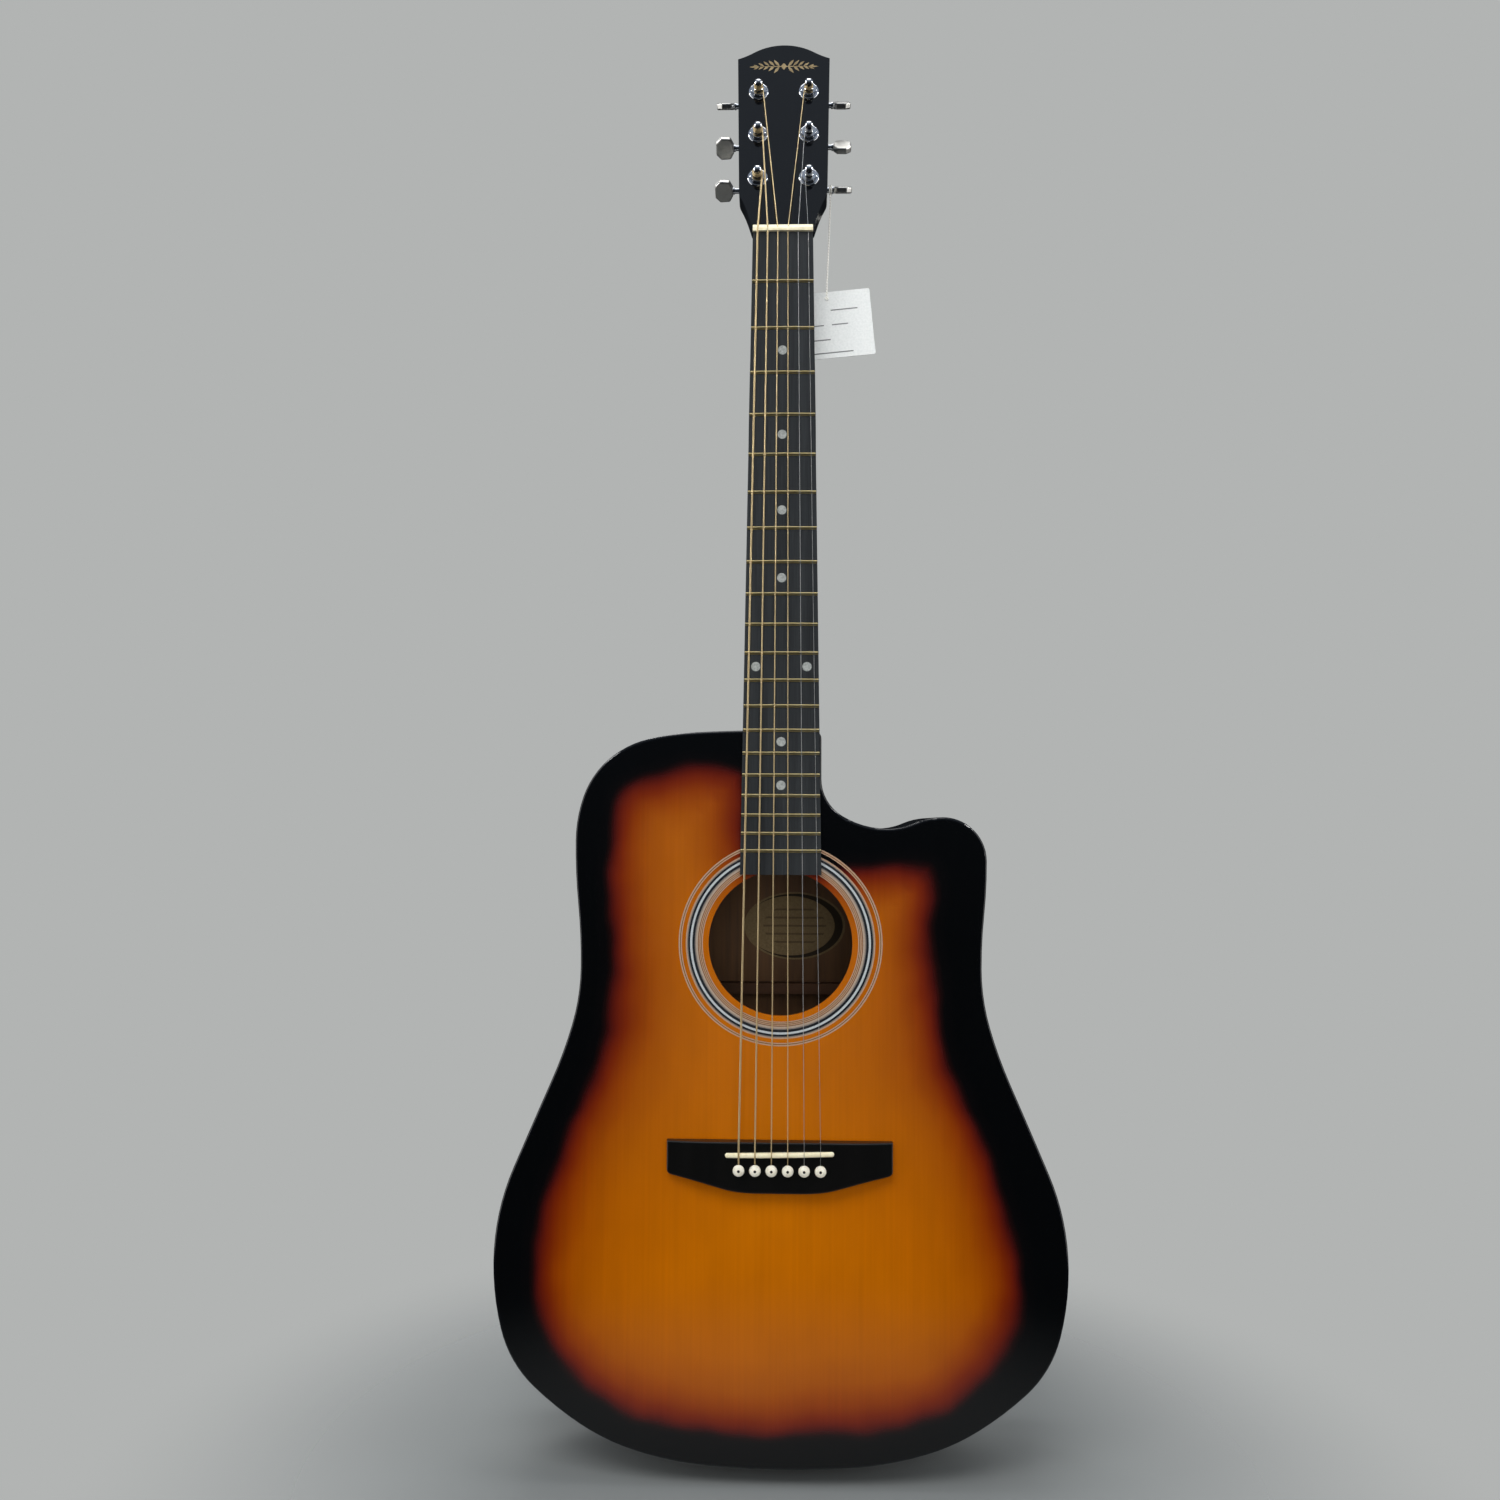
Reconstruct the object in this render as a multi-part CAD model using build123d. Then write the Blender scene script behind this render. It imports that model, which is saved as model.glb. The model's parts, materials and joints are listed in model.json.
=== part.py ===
from build123d import *
import math
import os

# Cutaway steel-string acoustic guitar, in millimetres, standing upright.
# +Z runs up the neck, the strings face -Y and the treble side is +X. The origin is on the centre
# line, at the nut's front face, in the plane of the soundboard's outer face.
# "Down" below is the distance below the nut, so down = -Z.

# ---------------------------------------------------------------- driving dimensions

SCALE = 643.0  # nut to saddle
FRET_COUNT = 20
BODY_FRET = 14  # the fret over the end of the body

NUT_WIDTH = 43.0
NUT_LENGTH = 5.0
NUT_ABOVE_BOARD = 2.4
BOARD_THICK = 6.2
BOARD_CROWN = 400.0  # radius of the fretboard's playing surface
BOARD_WIDTH_AT_BODY = 53.5
BOARD_END = 457.0
FRET_HEIGHT = 1.1
FRET_WIDTH = 2.3
FRET_SHOULDER = 0.35  # height of a fret's straight sides
FRET_TANG = (0.6, 1.6)
DOT_RADIUS = 3.25
DOT_PAIR_X = 17.9
DOT_FRETS = (3, 5, 7, 9, 15, 17)

BODY_TOP = 356.0
BODY_TAIL = 860.0
DEPTH_AT_NECK = 98.0
DEPTH_AT_TAIL = 120.0
RIB_THICK = 2.2
RIM_ROUND = 1.8
BINDING_TALL = 6.0
TOP_THICK = 2.8
BACK_THICK = 2.6
LINING_WIDE = 6.0
LINING_TALL = 14.0

HOLE_DOWN = 504.5
HOLE_RADIUS = 50.0
ROSETTE_BANDS = ((54.0, 65.9), (68.6, 70.9))
ROSETTE_DEEP = 0.8

BRACE_WIDE = 8.0
BRACE_TALL = 14.0
BRACE_END = 4.0  # height left at a brace's ends
BRACE_SLOPE = 30.0  # length over which a brace's end is cut back
X_DOWN = 588.0  # where the two long braces cross
UPPER_BAR_DOWN = 432.0
PLATE_THICK = 2.5
BACK_BAR_DOWNS = (432, 547, 665, 780)
BACK_BAR_TALL = 13.0
LABEL_MIDDLE = (10.5, 500.0)
LABEL_SIZE = (78.0, 52.0)
LABEL_THICK = 0.3

STRING_SPREAD_NUT = 36.0
STRING_SPREAD_BRIDGE = 55.8
STRING_RADII = (0.67, 0.53, 0.40, 0.30, 0.20, 0.15)  # low E to high E
WOUND_COUNT = 4
STRING_CLEARANCE = 0.06  # round the strings where they pass through wood
STRING_BENDS = (1.6, 1.6, 3.0, 10.0)  # over the pin's slot twice, the saddle and the nut
STRING_Y_NUT = -7.6  # underside of the strings on the nut
NUT_BREAK = 1.5  # where the strings bend on the nut, above its front face
SADDLE_TOP_Y = -12.1
SADDLE_DOWN = 647.0
SADDLE_SIZE = (74.5, 3.4)
SADDLE_SLANT = 1.2  # degrees, the bass end sits further down
SADDLE_SLOT_DEEP = 5.0
BRIDGE_THICK = 9.0
BRIDGE_END_THICK = 5.2
BRIDGE_TOP_DOWN = 639.0
PIN_DOWN = 657.8
PIN_HOLE_RADIUS = 2.8
PIN_RADII = (2.5, 2.1)  # shank under the head and at its tip
PIN_HEAD_RADIUS = 4.0
PIN_SLOT = 1.9  # the string's place in the pin hole, from its middle towards the saddle
PIN_GROOVE = 0.95  # radius of the groove down each pin
BALL_RADIUS = 2.0
BALL_LENGTH = 3.4
BALL_Y = TOP_THICK + PLATE_THICK + BALL_RADIUS + 0.1
BALL_OFFSET = 4.4

HEAD_TILT = 14.0
HEAD_THICK = 15.0
OVERLAY_THICK = 1.6
TUNER_U = 18.7
TUNER_V = (44.5, 83.5, 122.5)
POST_RADIUS = 3.0
WAIST_RADIUS = 2.5
POST_TOP = 10.8
POST_SHOULDER = 9.4
POST_FOOT = -24.5
POST_FOOT_RADIUS = 2.0
POST_HOLE_RADIUS = 5.0
STRING_LIFT = 4.2  # string centres above the headstock's face where they reach the posts
WORM_OFFSET = 5.7  # worm axis from post axis, towards the tip of the headstock
WORM_DEPTH = 20.0  # worm axis behind the headstock's face
WHEEL_TEETH = 14
WHEEL_PITCH_RADIUS = 3.7
WHEEL_THICK = 3.0
WORM_RADIUS = 2.45
WORM_CORE = 1.45
WORM_TURNS = 5
SHAFT_RADIUS = 1.9
SHAFT_TIP_RADIUS = 1.2
TANG_RADIUS = 1.3  # the shaft's end inside the button
TANG_LENGTH = 7.0
SCREW_RADIUS = 1.2
SCREW_V = -10.3  # mounting screw from the post axis, away from the tip of the headstock
HOUSING_OUT = 13.3  # the housing's ends from the post axis, towards the knob and away from it
HOUSING_IN = 8.5
HOUSING_DEEP = 11.0
EAR_THICK = 2.2
BUTTON_START = 37.3  # button's inner end from the centre line
BUTTON_LENGTH = 13.4
BUTTON_THICK = 4.6
# Where each knob was left, degrees about its shaft; 0 shows the button's broad side.
BUTTON_TURNS = (68, 66, -46, -42, -26, -48)
RUNNING = 0.05  # radial running clearance

GAP = 0.3  # clearance between bodies that move past each other

# Spans that reach past the whole body and past the whole headstock.
ALL_ACROSS = (-260, 260)
ALL_DOWN = (300, 900)
HEAD_ACROSS = (-60, 60)

# ---------------------------------------------------------------- reference planes and helpers

# Local x is the treble side, local y runs down the body and local z runs into the body.
FRONT = Plane(origin=(0, 0, 0), x_dir=(1, 0, 0), z_dir=(0, 1, 0))

TILT = math.radians(HEAD_TILT)
# Local x is the treble side, local y runs up the headstock and local z comes out of its face.
FACE = Plane(origin=(0, 0, NUT_LENGTH), x_dir=(1, 0, 0), z_dir=(0, -math.cos(TILT), math.sin(TILT)))

os.makedirs("parts", exist_ok=True)


def solids_of(*shapes):
    found = []
    for shape in shapes:
        found += shape.solids()
    return found


def write_node(name, *shapes):
    solids = solids_of(*shapes)
    export_step(solids[0] if len(solids) == 1 else Compound(children=solids), f"parts/{name}.step")


def direction(heading):
    return (math.cos(math.radians(heading)), math.sin(math.radians(heading)))


def two_arcs(start, end):
    """Two arcs that leave start and reach end, each (x, y, heading in degrees), with no corner."""
    (x0, y0, h0), (x1, y1, h1) = start, end
    t0, t1 = direction(h0), direction(h1)
    chord = (x1 - x0, y1 - y0)
    chord_sq = chord[0] ** 2 + chord[1] ** 2
    along = chord[0] * (t0[0] + t1[0]) + chord[1] * (t0[1] + t1[1])
    spread = 2 * (1 - t0[0] * t1[0] - t0[1] * t1[1])
    if spread < 1e-9:
        reach = chord_sq / (2 * along)
    else:
        reach = (math.sqrt(along**2 + spread * chord_sq) - along) / spread
    middle = (
        (x0 + reach * t0[0] + x1 - reach * t1[0]) / 2,
        (y0 + reach * t0[1] + y1 - reach * t1[1]) / 2,
    )
    first = TangentArc((x0, y0), middle, tangent=t0)
    second = TangentArc((x1, y1), middle, tangent=(-t1[0], -t1[1]))
    return [first, second]


def smooth_outline(waypoints):
    edges = []
    for start, end in zip(waypoints, waypoints[1:]):
        t0, t1 = direction(start[2]), direction(end[2])
        chord = (end[0] - start[0], end[1] - start[1])
        off_line = max(abs(chord[0] * t[1] - chord[1] * t[0]) for t in (t0, t1))
        if off_line < 1e-6:
            edges.append(Line(start[:2], end[:2]))
        else:
            edges += two_arcs(start, end)
    return edges


def half_oval(half_width, depth, power, steps=12):
    """Points of a squarish half oval from +half_width round to -half_width."""
    points = []
    for i in range(steps + 1):
        angle = math.pi * i / steps
        c, s = math.cos(angle), math.sin(angle)
        x = half_width * math.copysign(abs(c) ** (2 / power), c)
        points.append((x, depth * abs(s) ** (2 / power)))
    return points


def oval_face(plane, half_width, depth, power):
    points = half_oval(half_width, depth, power)
    curve = Spline(*points, tangents=[(0, 1), (0, -1)])
    chord = Line(points[-1], points[0])
    return plane * make_face([curve, chord])


def fret_down(number):
    return SCALE * (1 - 2 ** (-number / 12))


def board_width(down):
    return NUT_WIDTH + (BOARD_WIDTH_AT_BODY - NUT_WIDTH) * down / fret_down(BODY_FRET)


def crown_drop(x):
    """How far the crowned playing surface falls behind its middle line at x."""
    return x * x / (2 * BOARD_CROWN)


def back_y(down):
    slope = (DEPTH_AT_TAIL - DEPTH_AT_NECK) / (BODY_TAIL - BODY_TOP)
    return DEPTH_AT_NECK + slope * (down - BODY_TOP)


def between(front_y, from_back):
    """Everything behind front_y and more than from_back in front of the sloping back."""
    high, low = BODY_TOP - 60, BODY_TAIL + 60
    corners = [
        (front_y, -high),
        (back_y(high) - from_back, -high),
        (back_y(low) - from_back, -low),
        (front_y, -low),
    ]
    return extrude(Plane.YZ * make_face(Polyline(*corners, close=True)), amount=ALL_ACROSS[1], both=True)


def block(x_range, y_range, down_range):
    size = (x_range[1] - x_range[0], y_range[1] - y_range[0], down_range[1] - down_range[0])
    middle = (sum(x_range) / 2, sum(y_range) / 2, -sum(down_range) / 2)
    return Pos(*middle) * Box(*size)


def rod(start, end, radius):
    start, end = Vector(*start), Vector(*end)
    plane = Plane(origin=start, z_dir=end - start)
    return extrude(plane * Circle(radius), amount=(end - start).length)


# ---------------------------------------------------------------- body outline

BASS_SIDE = [
    (0, BODY_TOP, 180),
    (-60, 357.6, 177),
    (-122, 377.5, 138),
    (-144, 434, 90),
    (-139.3, 522, 90),
    (-158.5, 600, 113.5),
    (-197.3, 724, 90),
    (-168, 808, 42),
    (-100, 848.5, 17),
    (0, BODY_TAIL, 0),
]
TREBLE_SIDE = [
    (0, BODY_TAIL, 0),
    (100, 848.5, 343),
    (168, 808, 318),
    (197.3, 724, 270),
    (158.5, 600, 246.5),
    (139.3, 522, 270),
    (143.3, 447, 270),
    (113, 416.5, 180),
    (74, 424.7, 180),
    (28.3, 390, 270),
    (28.3, 362, 270),
    (22.3, BODY_TOP, 180),
    (0, BODY_TOP, 180),
]
BODY_FACE = make_face(smooth_outline(BASS_SIDE) + smooth_outline(TREBLE_SIDE))


def body_slab(inset, front_y, from_back):
    """The body's outline drawn in by inset, from front_y to from_back in front of the back."""
    face = BODY_FACE if inset == 0 else offset(BODY_FACE, amount=-inset)
    return extrude(FRONT * face, amount=DEPTH_AT_TAIL + 30) & between(front_y, from_back)


def rounded_envelope():
    envelope = body_slab(0, 0, 0)
    rims = [envelope.faces().sort_by(Axis.Y)[0], envelope.faces().sort_by(Axis.Y)[-1]]
    return fillet([edge for rim in rims for edge in rim.edges()], RIM_ROUND)


SHELL = rounded_envelope() - body_slab(RIB_THICK, -1, -1)
INSIDE = body_slab(RIB_THICK, TOP_THICK, BACK_THICK)
CLEAR_OF_LININGS = body_slab(RIB_THICK + LINING_WIDE + 0.2, TOP_THICK, BACK_THICK)

NECK_BLOCK = ((-32, 28), (TOP_THICK, DEPTH_AT_TAIL), (BODY_TOP, BODY_TOP + 28))
TAIL_BLOCK = ((-45, 45), (TOP_THICK, DEPTH_AT_TAIL), (BODY_TAIL - 22, BODY_TAIL))
TENON = ((-9, 9), (4, 78), (BODY_TOP - 1, BODY_TOP + 14))
TRUSS_Y = 9.0
TRUSS_RADIUS = 3.0
TRUSS_START = 8.0
TRUSS_CLEARANCE = 0.4  # round the rod where it passes through the body
END_PIN_Y = 58.0
END_PIN_RADIUS = 4.0


def truss_bore(radius):
    return rod((0, TRUSS_Y, -TRUSS_START), (0, TRUSS_Y, -(BODY_TOP + 40)), radius)


def end_pin_bore():
    return rod((0, END_PIN_Y, -(BODY_TAIL - 25)), (0, END_PIN_Y, -(BODY_TAIL + 5)), END_PIN_RADIUS)


# ---------------------------------------------------------------- strings' run

PIN_X = [STRING_SPREAD_BRIDGE * (i / 5 - 0.5) for i in range(6)]
NUT_X = [STRING_SPREAD_NUT * (i / 5 - 0.5) for i in range(6)]
# Each string's post: side (-1 bass, +1 treble) and height up the headstock.
POSTS = [(-1, v) for v in TUNER_V] + [(1, v) for v in reversed(TUNER_V)]


def face_point(u, v, h):
    return (
        u,
        v * math.sin(TILT) - h * math.cos(TILT),
        NUT_LENGTH + v * math.cos(TILT) + h * math.sin(TILT),
    )


def saddle_down(x):
    return SADDLE_DOWN - x * math.tan(math.radians(SADDLE_SLANT))


def string_route(i):
    radius = STRING_RADII[i]
    side, v = POSTS[i]
    x = PIN_X[i]
    saddle_y = SADDLE_TOP_Y + crown_drop(x) - radius
    under_head = -(BRIDGE_THICK + 0.2) + radius + 0.15
    steepness = (under_head - saddle_y) / (PIN_DOWN - PIN_HEAD_RADIUS - saddle_down(x))
    slot_down = PIN_DOWN - PIN_SLOT
    return [
        (x, BALL_Y, -(PIN_DOWN - BALL_OFFSET)),
        (x, TOP_THICK + 1.0, -slot_down),
        (x, saddle_y + steepness * (slot_down - saddle_down(x)), -slot_down),
        (x, saddle_y, -saddle_down(x)),
        (NUT_X[i], STRING_Y_NUT + crown_drop(NUT_X[i]) - radius, NUT_BREAK),
        face_point(side * (TUNER_U - WAIST_RADIUS - GAP - radius), v, STRING_LIFT),
    ]


def string_solid(i, radius):
    points = string_route(i)
    path = FilletPolyline(*points, radius=list(STRING_BENDS))
    section = Plane(origin=points[0], z_dir=Vector(*points[1]) - Vector(*points[0])) * Circle(radius)
    return sweep(section, path=path)


STRINGS = [string_solid(i, STRING_RADII[i]) for i in range(6)]
STRING_CUTS = [string_solid(i, STRING_RADII[i] + STRING_CLEARANCE) for i in range(6)]


def pin_holes(down_to):
    return [rod((x, -20, -PIN_DOWN), (x, down_to, -PIN_DOWN), PIN_HOLE_RADIUS) for x in PIN_X]


# ---------------------------------------------------------------- body parts


def soundboard():
    hole = rod((0, -5, -HOLE_DOWN), (0, 10, -HOLE_DOWN), HOLE_RADIUS)
    plate = body_slab(RIB_THICK, 0, 0) & block(ALL_ACROSS, (0, TOP_THICK), ALL_DOWN)
    return plate - hole - rosette() - pin_holes(TOP_THICK + 5) - STRING_CUTS


def rosette():
    rings = []
    for inner, outer in ROSETTE_BANDS:
        ring = FRONT * Pos(0, HOLE_DOWN, 0) * (Circle(outer) - Circle(inner))
        rings.append(extrude(ring, amount=ROSETTE_DEEP))
    return rings


def back_plate():
    return body_slab(RIB_THICK, 0, 0) - between(-1, BACK_THICK)


def top_binding():
    ring = SHELL & block(ALL_ACROSS, (-1, BINDING_TALL), ALL_DOWN)
    return ring - block(*TENON)


def back_binding():
    return SHELL - between(-1, BINDING_TALL)


def ribs():
    band = SHELL & between(BINDING_TALL, BINDING_TALL)
    band -= [block(*TENON), end_pin_bore(), truss_bore(TRUSS_RADIUS + TRUSS_CLEARANCE)]
    bass = band & block((ALL_ACROSS[0], 0), (-5, 200), ALL_DOWN)
    treble = band & block((0, ALL_ACROSS[1]), (-5, 200), ALL_DOWN)
    return bass, treble


def linings():
    ring = INSIDE - body_slab(RIB_THICK + LINING_WIDE, -1, -1)
    ring -= [block(*NECK_BLOCK), block(*TAIL_BLOCK)]
    front = ring & block(ALL_ACROSS, (0, TOP_THICK + LINING_TALL), ALL_DOWN)
    back = ring - between(-1, BACK_THICK + LINING_TALL)
    return front, back


def neck_block():
    solid = INSIDE & block(*NECK_BLOCK)
    return solid - block(*TENON) - truss_bore(TRUSS_RADIUS + TRUSS_CLEARANCE)


def tail_block():
    return (INSIDE & block(*TAIL_BLOCK)) - end_pin_bore()


def front_bar(middle, length, heading, wide, tall):
    """A bar glued behind the soundboard, its top corners cut back towards its ends."""
    half = length / 2
    corners = [
        (-half, 0),
        (half, 0),
        (half, BRACE_END),
        (half - BRACE_SLOPE, tall),
        (-half + BRACE_SLOPE, tall),
        (-half, BRACE_END),
    ]
    side = make_face(Polyline(*corners, close=True))
    bar = extrude(Plane.XZ * side, amount=wide / 2, both=True)
    return FRONT * Pos(middle[0], middle[1], TOP_THICK) * Rot(0, 0, heading) * bar


def soundboard_braces():
    legs = [front_bar((0, X_DOWN), 380, turn, BRACE_WIDE, BRACE_TALL) for turn in (-45, 45)]
    lap = block((-30, 30), (TOP_THICK, TOP_THICK + BRACE_TALL / 2), (X_DOWN - 30, X_DOWN + 30))
    crossing = legs[0] & legs[1]
    legs[0] -= crossing & lap
    legs[1] -= crossing - lap
    nut_room = rod((0, TRUSS_Y, -(UPPER_BAR_DOWN - 30)), (0, TRUSS_Y, -(UPPER_BAR_DOWN + 30)), 6)
    upper = front_bar((0, UPPER_BAR_DOWN), 300, 0, 12, 16) - nut_room
    bars = legs + [upper]
    keep_out = legs[0] + legs[1]
    for middle in ((18, 700), (8, 768)):
        bars.append(front_bar(middle, 200, -28, 7, 10) - keep_out)
    for side in (-1, 1):
        bars.append(front_bar((side * 105, 585), 76, side * 5, 6, 8) - keep_out)
    inside = [bar & CLEAR_OF_LININGS for bar in bars]
    return [max(bar.solids(), key=lambda s: s.volume) for bar in inside]


def bridge_plate():
    outline = make_face(Polyline((-34, 632), (34, 632), (70, 668), (-70, 668), close=True))
    plate = extrude(FRONT * Pos(0, 0, TOP_THICK) * outline, amount=PLATE_THICK)
    return plate - pin_holes(TOP_THICK + 6) - STRING_CUTS


def back_braces():
    bars = []
    for down in BACK_BAR_DOWNS:
        slice_down = (down - BRACE_WIDE / 2, down + BRACE_WIDE / 2)
        bar = block(ALL_ACROSS, (40, 200), slice_down) - between(-1, BACK_THICK + BACK_BAR_TALL)
        bars.append(bar & CLEAR_OF_LININGS)
    return bars


def paper_label():
    x, down = LABEL_MIDDLE
    lean = math.atan2(DEPTH_AT_TAIL - DEPTH_AT_NECK, BODY_TAIL - BODY_TOP)
    off_back = (0, -math.cos(lean), -math.sin(lean))
    face = Plane(origin=(x, back_y(down) - BACK_THICK, -down), x_dir=(1, 0, 0), z_dir=off_back)
    return extrude(face * Ellipse(LABEL_SIZE[0] / 2, LABEL_SIZE[1] / 2), amount=LABEL_THICK)


def end_pin():
    profile = [
        (0, -22),
        (3.2, -22),
        (END_PIN_RADIUS, -1),
        (END_PIN_RADIUS, 0),
        (6.5, 0),
        (6.5, 1.5),
        (3.8, 3.5),
        (3.6, 6.5),
        (6.8, 9.5),
        (6.8, 10.5),
        (4.5, 12.2),
        (0, 12.6),
    ]
    spun = revolve(Plane.XZ * make_face(Polyline(*profile, close=True)), axis=Axis.Z)
    return Pos(0, END_PIN_Y, -BODY_TAIL) * Rot(180, 0, 0) * spun


# ---------------------------------------------------------------- bridge

# Half of the bridge's lower edge: from the centre line, from the top edge, heading.
BRIDGE_EDGE = [
    (0, 34.5, 0),
    (28, 33.8, 354),
    (48, 29.2, 344),
    (66, 24.7, 348),
    (74.4, 22.8, 346),
    (77.4, 19.6, 270),
]
BRIDGE_FLAT = 46.0  # half the length that keeps the full thickness


def both_halves(edges):
    half = make_face(edges)
    return half + mirror(half, about=Plane.YZ)


def bridge():
    middle, end = BRIDGE_EDGE[0], BRIDGE_EDGE[-1]
    edges = smooth_outline(BRIDGE_EDGE)
    edges += [Line(end[:2], (end[0], 0)), Line((end[0], 0), (0, 0)), Line((0, 0), middle[:2])]
    solid = extrude(FRONT * Pos(0, BRIDGE_TOP_DOWN, 0) * both_halves(edges), amount=-BRIDGE_THICK)
    tip = end[0] + 4.5
    hump = smooth_outline([(0, BRIDGE_THICK, 0), (BRIDGE_FLAT, BRIDGE_THICK, 0)])
    hump += smooth_outline([(BRIDGE_FLAT, BRIDGE_THICK, 0), (tip, BRIDGE_END_THICK, 352)])
    hump += [Line((tip, BRIDGE_END_THICK), (tip, 0)), Line((tip, 0), (0, 0))]
    hump.append(Line((0, 0), (0, BRIDGE_THICK)))
    from_above = Plane(origin=(0, 0, -BRIDGE_TOP_DOWN + 30), x_dir=(1, 0, 0), z_dir=(0, 0, -1))
    solid &= extrude(from_above * both_halves(hump), amount=120)
    front_y = -BRIDGE_END_THICK - 0.1
    crest = [e for e in solid.edges() if e.center().Y < front_y and abs(e.center().X) < end[0] - 0.1]
    solid = fillet(crest, 1.4)
    return solid - saddle_body(BRIDGE_THICK + 1) - pin_holes(5) - STRING_CUTS


def saddle_body(top):
    """The saddle's plan, from the floor of its slot out to top in front of the soundboard."""
    floor = BRIDGE_THICK - SADDLE_SLOT_DEEP
    place = FRONT * Pos(0, SADDLE_DOWN, -floor) * Rot(0, 0, -SADDLE_SLANT)
    return extrude(place * SlotOverall(*SADDLE_SIZE), amount=-(top - floor))


def saddle():
    crown_middle = (0, SADDLE_TOP_Y + BOARD_CROWN, -SADDLE_DOWN)
    crown = Pos(*crown_middle) * Cylinder(BOARD_CROWN, 60)
    solid = saddle_body(-SADDLE_TOP_Y + 2) & crown
    crest = [e for e in solid.edges() if e.center().Y < SADDLE_TOP_Y + 3]
    solid = fillet(crest, 1.3)
    return solid - STRING_CUTS


def bridge_pins():
    """Pins whose heads stand on the bridge, each with a groove for its string."""
    top, tip = PIN_RADII
    seat = -BRIDGE_THICK - 0.2
    profile = [
        (0, 8.5),
        (tip - 0.8, 8.5),
        (tip, 7.2),
        (top, seat),
        (PIN_HEAD_RADIUS - 0.3, seat),
        (PIN_HEAD_RADIUS, seat - 0.7),
        (PIN_HEAD_RADIUS - 0.5, seat - 1.9),
        (1.9, seat - 2.7),
        (0, seat - 2.9),
    ]
    spun = revolve(make_face(Polyline(*profile, close=True)), axis=Axis.Y)
    groove = rod((0, 20, PIN_SLOT), (0, seat + 0.1, PIN_SLOT), PIN_GROOVE)
    return [Pos(x, 0, -PIN_DOWN) * (spun - groove) - STRING_CUTS for x in PIN_X]


def ball_ends():
    balls = []
    height = -(PIN_DOWN - BALL_OFFSET)
    for x, cut in zip(PIN_X, STRING_CUTS):
        ends = [(x + side * BALL_LENGTH / 2, BALL_Y, height) for side in (-1, 1)]
        balls.append(rod(*ends, BALL_RADIUS) - cut)
    return balls


# ---------------------------------------------------------------- fretboard, frets and nut

CROWN_AXIS = Axis((0, BOARD_CROWN - BOARD_THICK, 0), (0, 0, 1))


def crowned(radius_gain):
    middle_y = BOARD_CROWN - BOARD_THICK
    return Pos(0, middle_y, -SCALE / 2) * Cylinder(BOARD_CROWN + radius_gain, 2 * SCALE)


def board_blank():
    half_nut, half_end = NUT_WIDTH / 2, board_width(BOARD_END) / 2
    corners = [(-half_nut, 0), (half_nut, 0), (half_end, BOARD_END), (-half_end, BOARD_END)]
    blank = extrude(FRONT * make_face(Polyline(*corners, close=True)), amount=-(BOARD_THICK + 2))
    return blank & crowned(0)


def swept_round_crown(profile, half_angle):
    """A profile in the YZ plane swung both ways about the crown's axis."""
    swung = revolve(Plane.YZ * profile, axis=CROWN_AXIS, revolution_arc=2 * half_angle)
    return swung.rotate(CROWN_AXIS, -half_angle)


def fret_profile(down):
    lower, upper = -down - FRET_WIDTH / 2, -down + FRET_WIDTH / 2
    seat = -BOARD_THICK
    shoulder = seat - FRET_SHOULDER
    crown = [
        Line((seat, lower), (shoulder, lower)),
        ThreePointArc((shoulder, lower), (seat - FRET_HEIGHT, -down), (shoulder, upper)),
        Line((shoulder, upper), (seat, upper)),
        Line((seat, upper), (seat, lower)),
    ]
    return make_face(crown)


def tang_profile(down):
    wide, deep = FRET_TANG
    return Pos(-BOARD_THICK + deep / 2, -down) * Rectangle(deep, wide)


def frets():
    rails = []
    tangs = []
    for number in range(1, FRET_COUNT + 1):
        down = fret_down(number)
        half_angle = math.degrees((board_width(down) / 2 - 0.3) / BOARD_CROWN)
        tang = swept_round_crown(tang_profile(down), half_angle)
        rails.append(swept_round_crown(fret_profile(down), half_angle) + tang)
        tangs.append(tang)
    return rails, tangs


def position_dots(blank):
    places = [(0, number) for number in DOT_FRETS] + [(-DOT_PAIR_X, 12), (DOT_PAIR_X, 12)]
    dots = []
    for x, number in places:
        down = (fret_down(number - 1) + fret_down(number)) / 2
        dots.append(rod((x, -BOARD_THICK + 1.5, -down), (x, -BOARD_THICK - 1, -down), DOT_RADIUS) & blank)
    return dots


def nut():
    crest = STRING_Y_NUT - 1.1
    corners = [(0, 0), (0, NUT_LENGTH), (STRING_Y_NUT + 1.2, NUT_LENGTH), (crest, 1.6), (crest, 0)]
    profile = Plane.YZ * make_face(Polyline(*corners, close=True))
    solid = extrude(profile, amount=NUT_WIDTH / 2, both=True) & crowned(NUT_ABOVE_BOARD)
    ends = [e for e in solid.edges() if abs(e.center().X) > NUT_WIDTH / 2 - 0.1 and e.center().Y < -3]
    solid = fillet(ends, 0.6)
    return solid - STRING_CUTS


# ---------------------------------------------------------------- neck

NECK_SECTIONS = [  # down, width, depth behind the fretboard, squareness
    (-16, 44.5, 15.2, 2.9),
    (6, 43.2, 15.4, 2.4),
    (60, 44.6, 15.6, 2.2),
    (190, 48.4, 16.4, 2.2),
    (300, 51.6, 17.6, 2.2),
    (BODY_TOP, 53.4, 19.5, 2.3),
]
HEEL_SLICES = [  # behind the soundboard's face, half width, length up the neck, squareness
    (2, 26.4, 66, 2.4),
    (17, 24.8, 47, 2.3),
    (34, 21.5, 32, 2.2),
    (60, 17.0, 24, 2.2),
    (94, 13.5, 21.5, 2.3),
]
HEEL_CAP_THICK = 3.0

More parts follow.
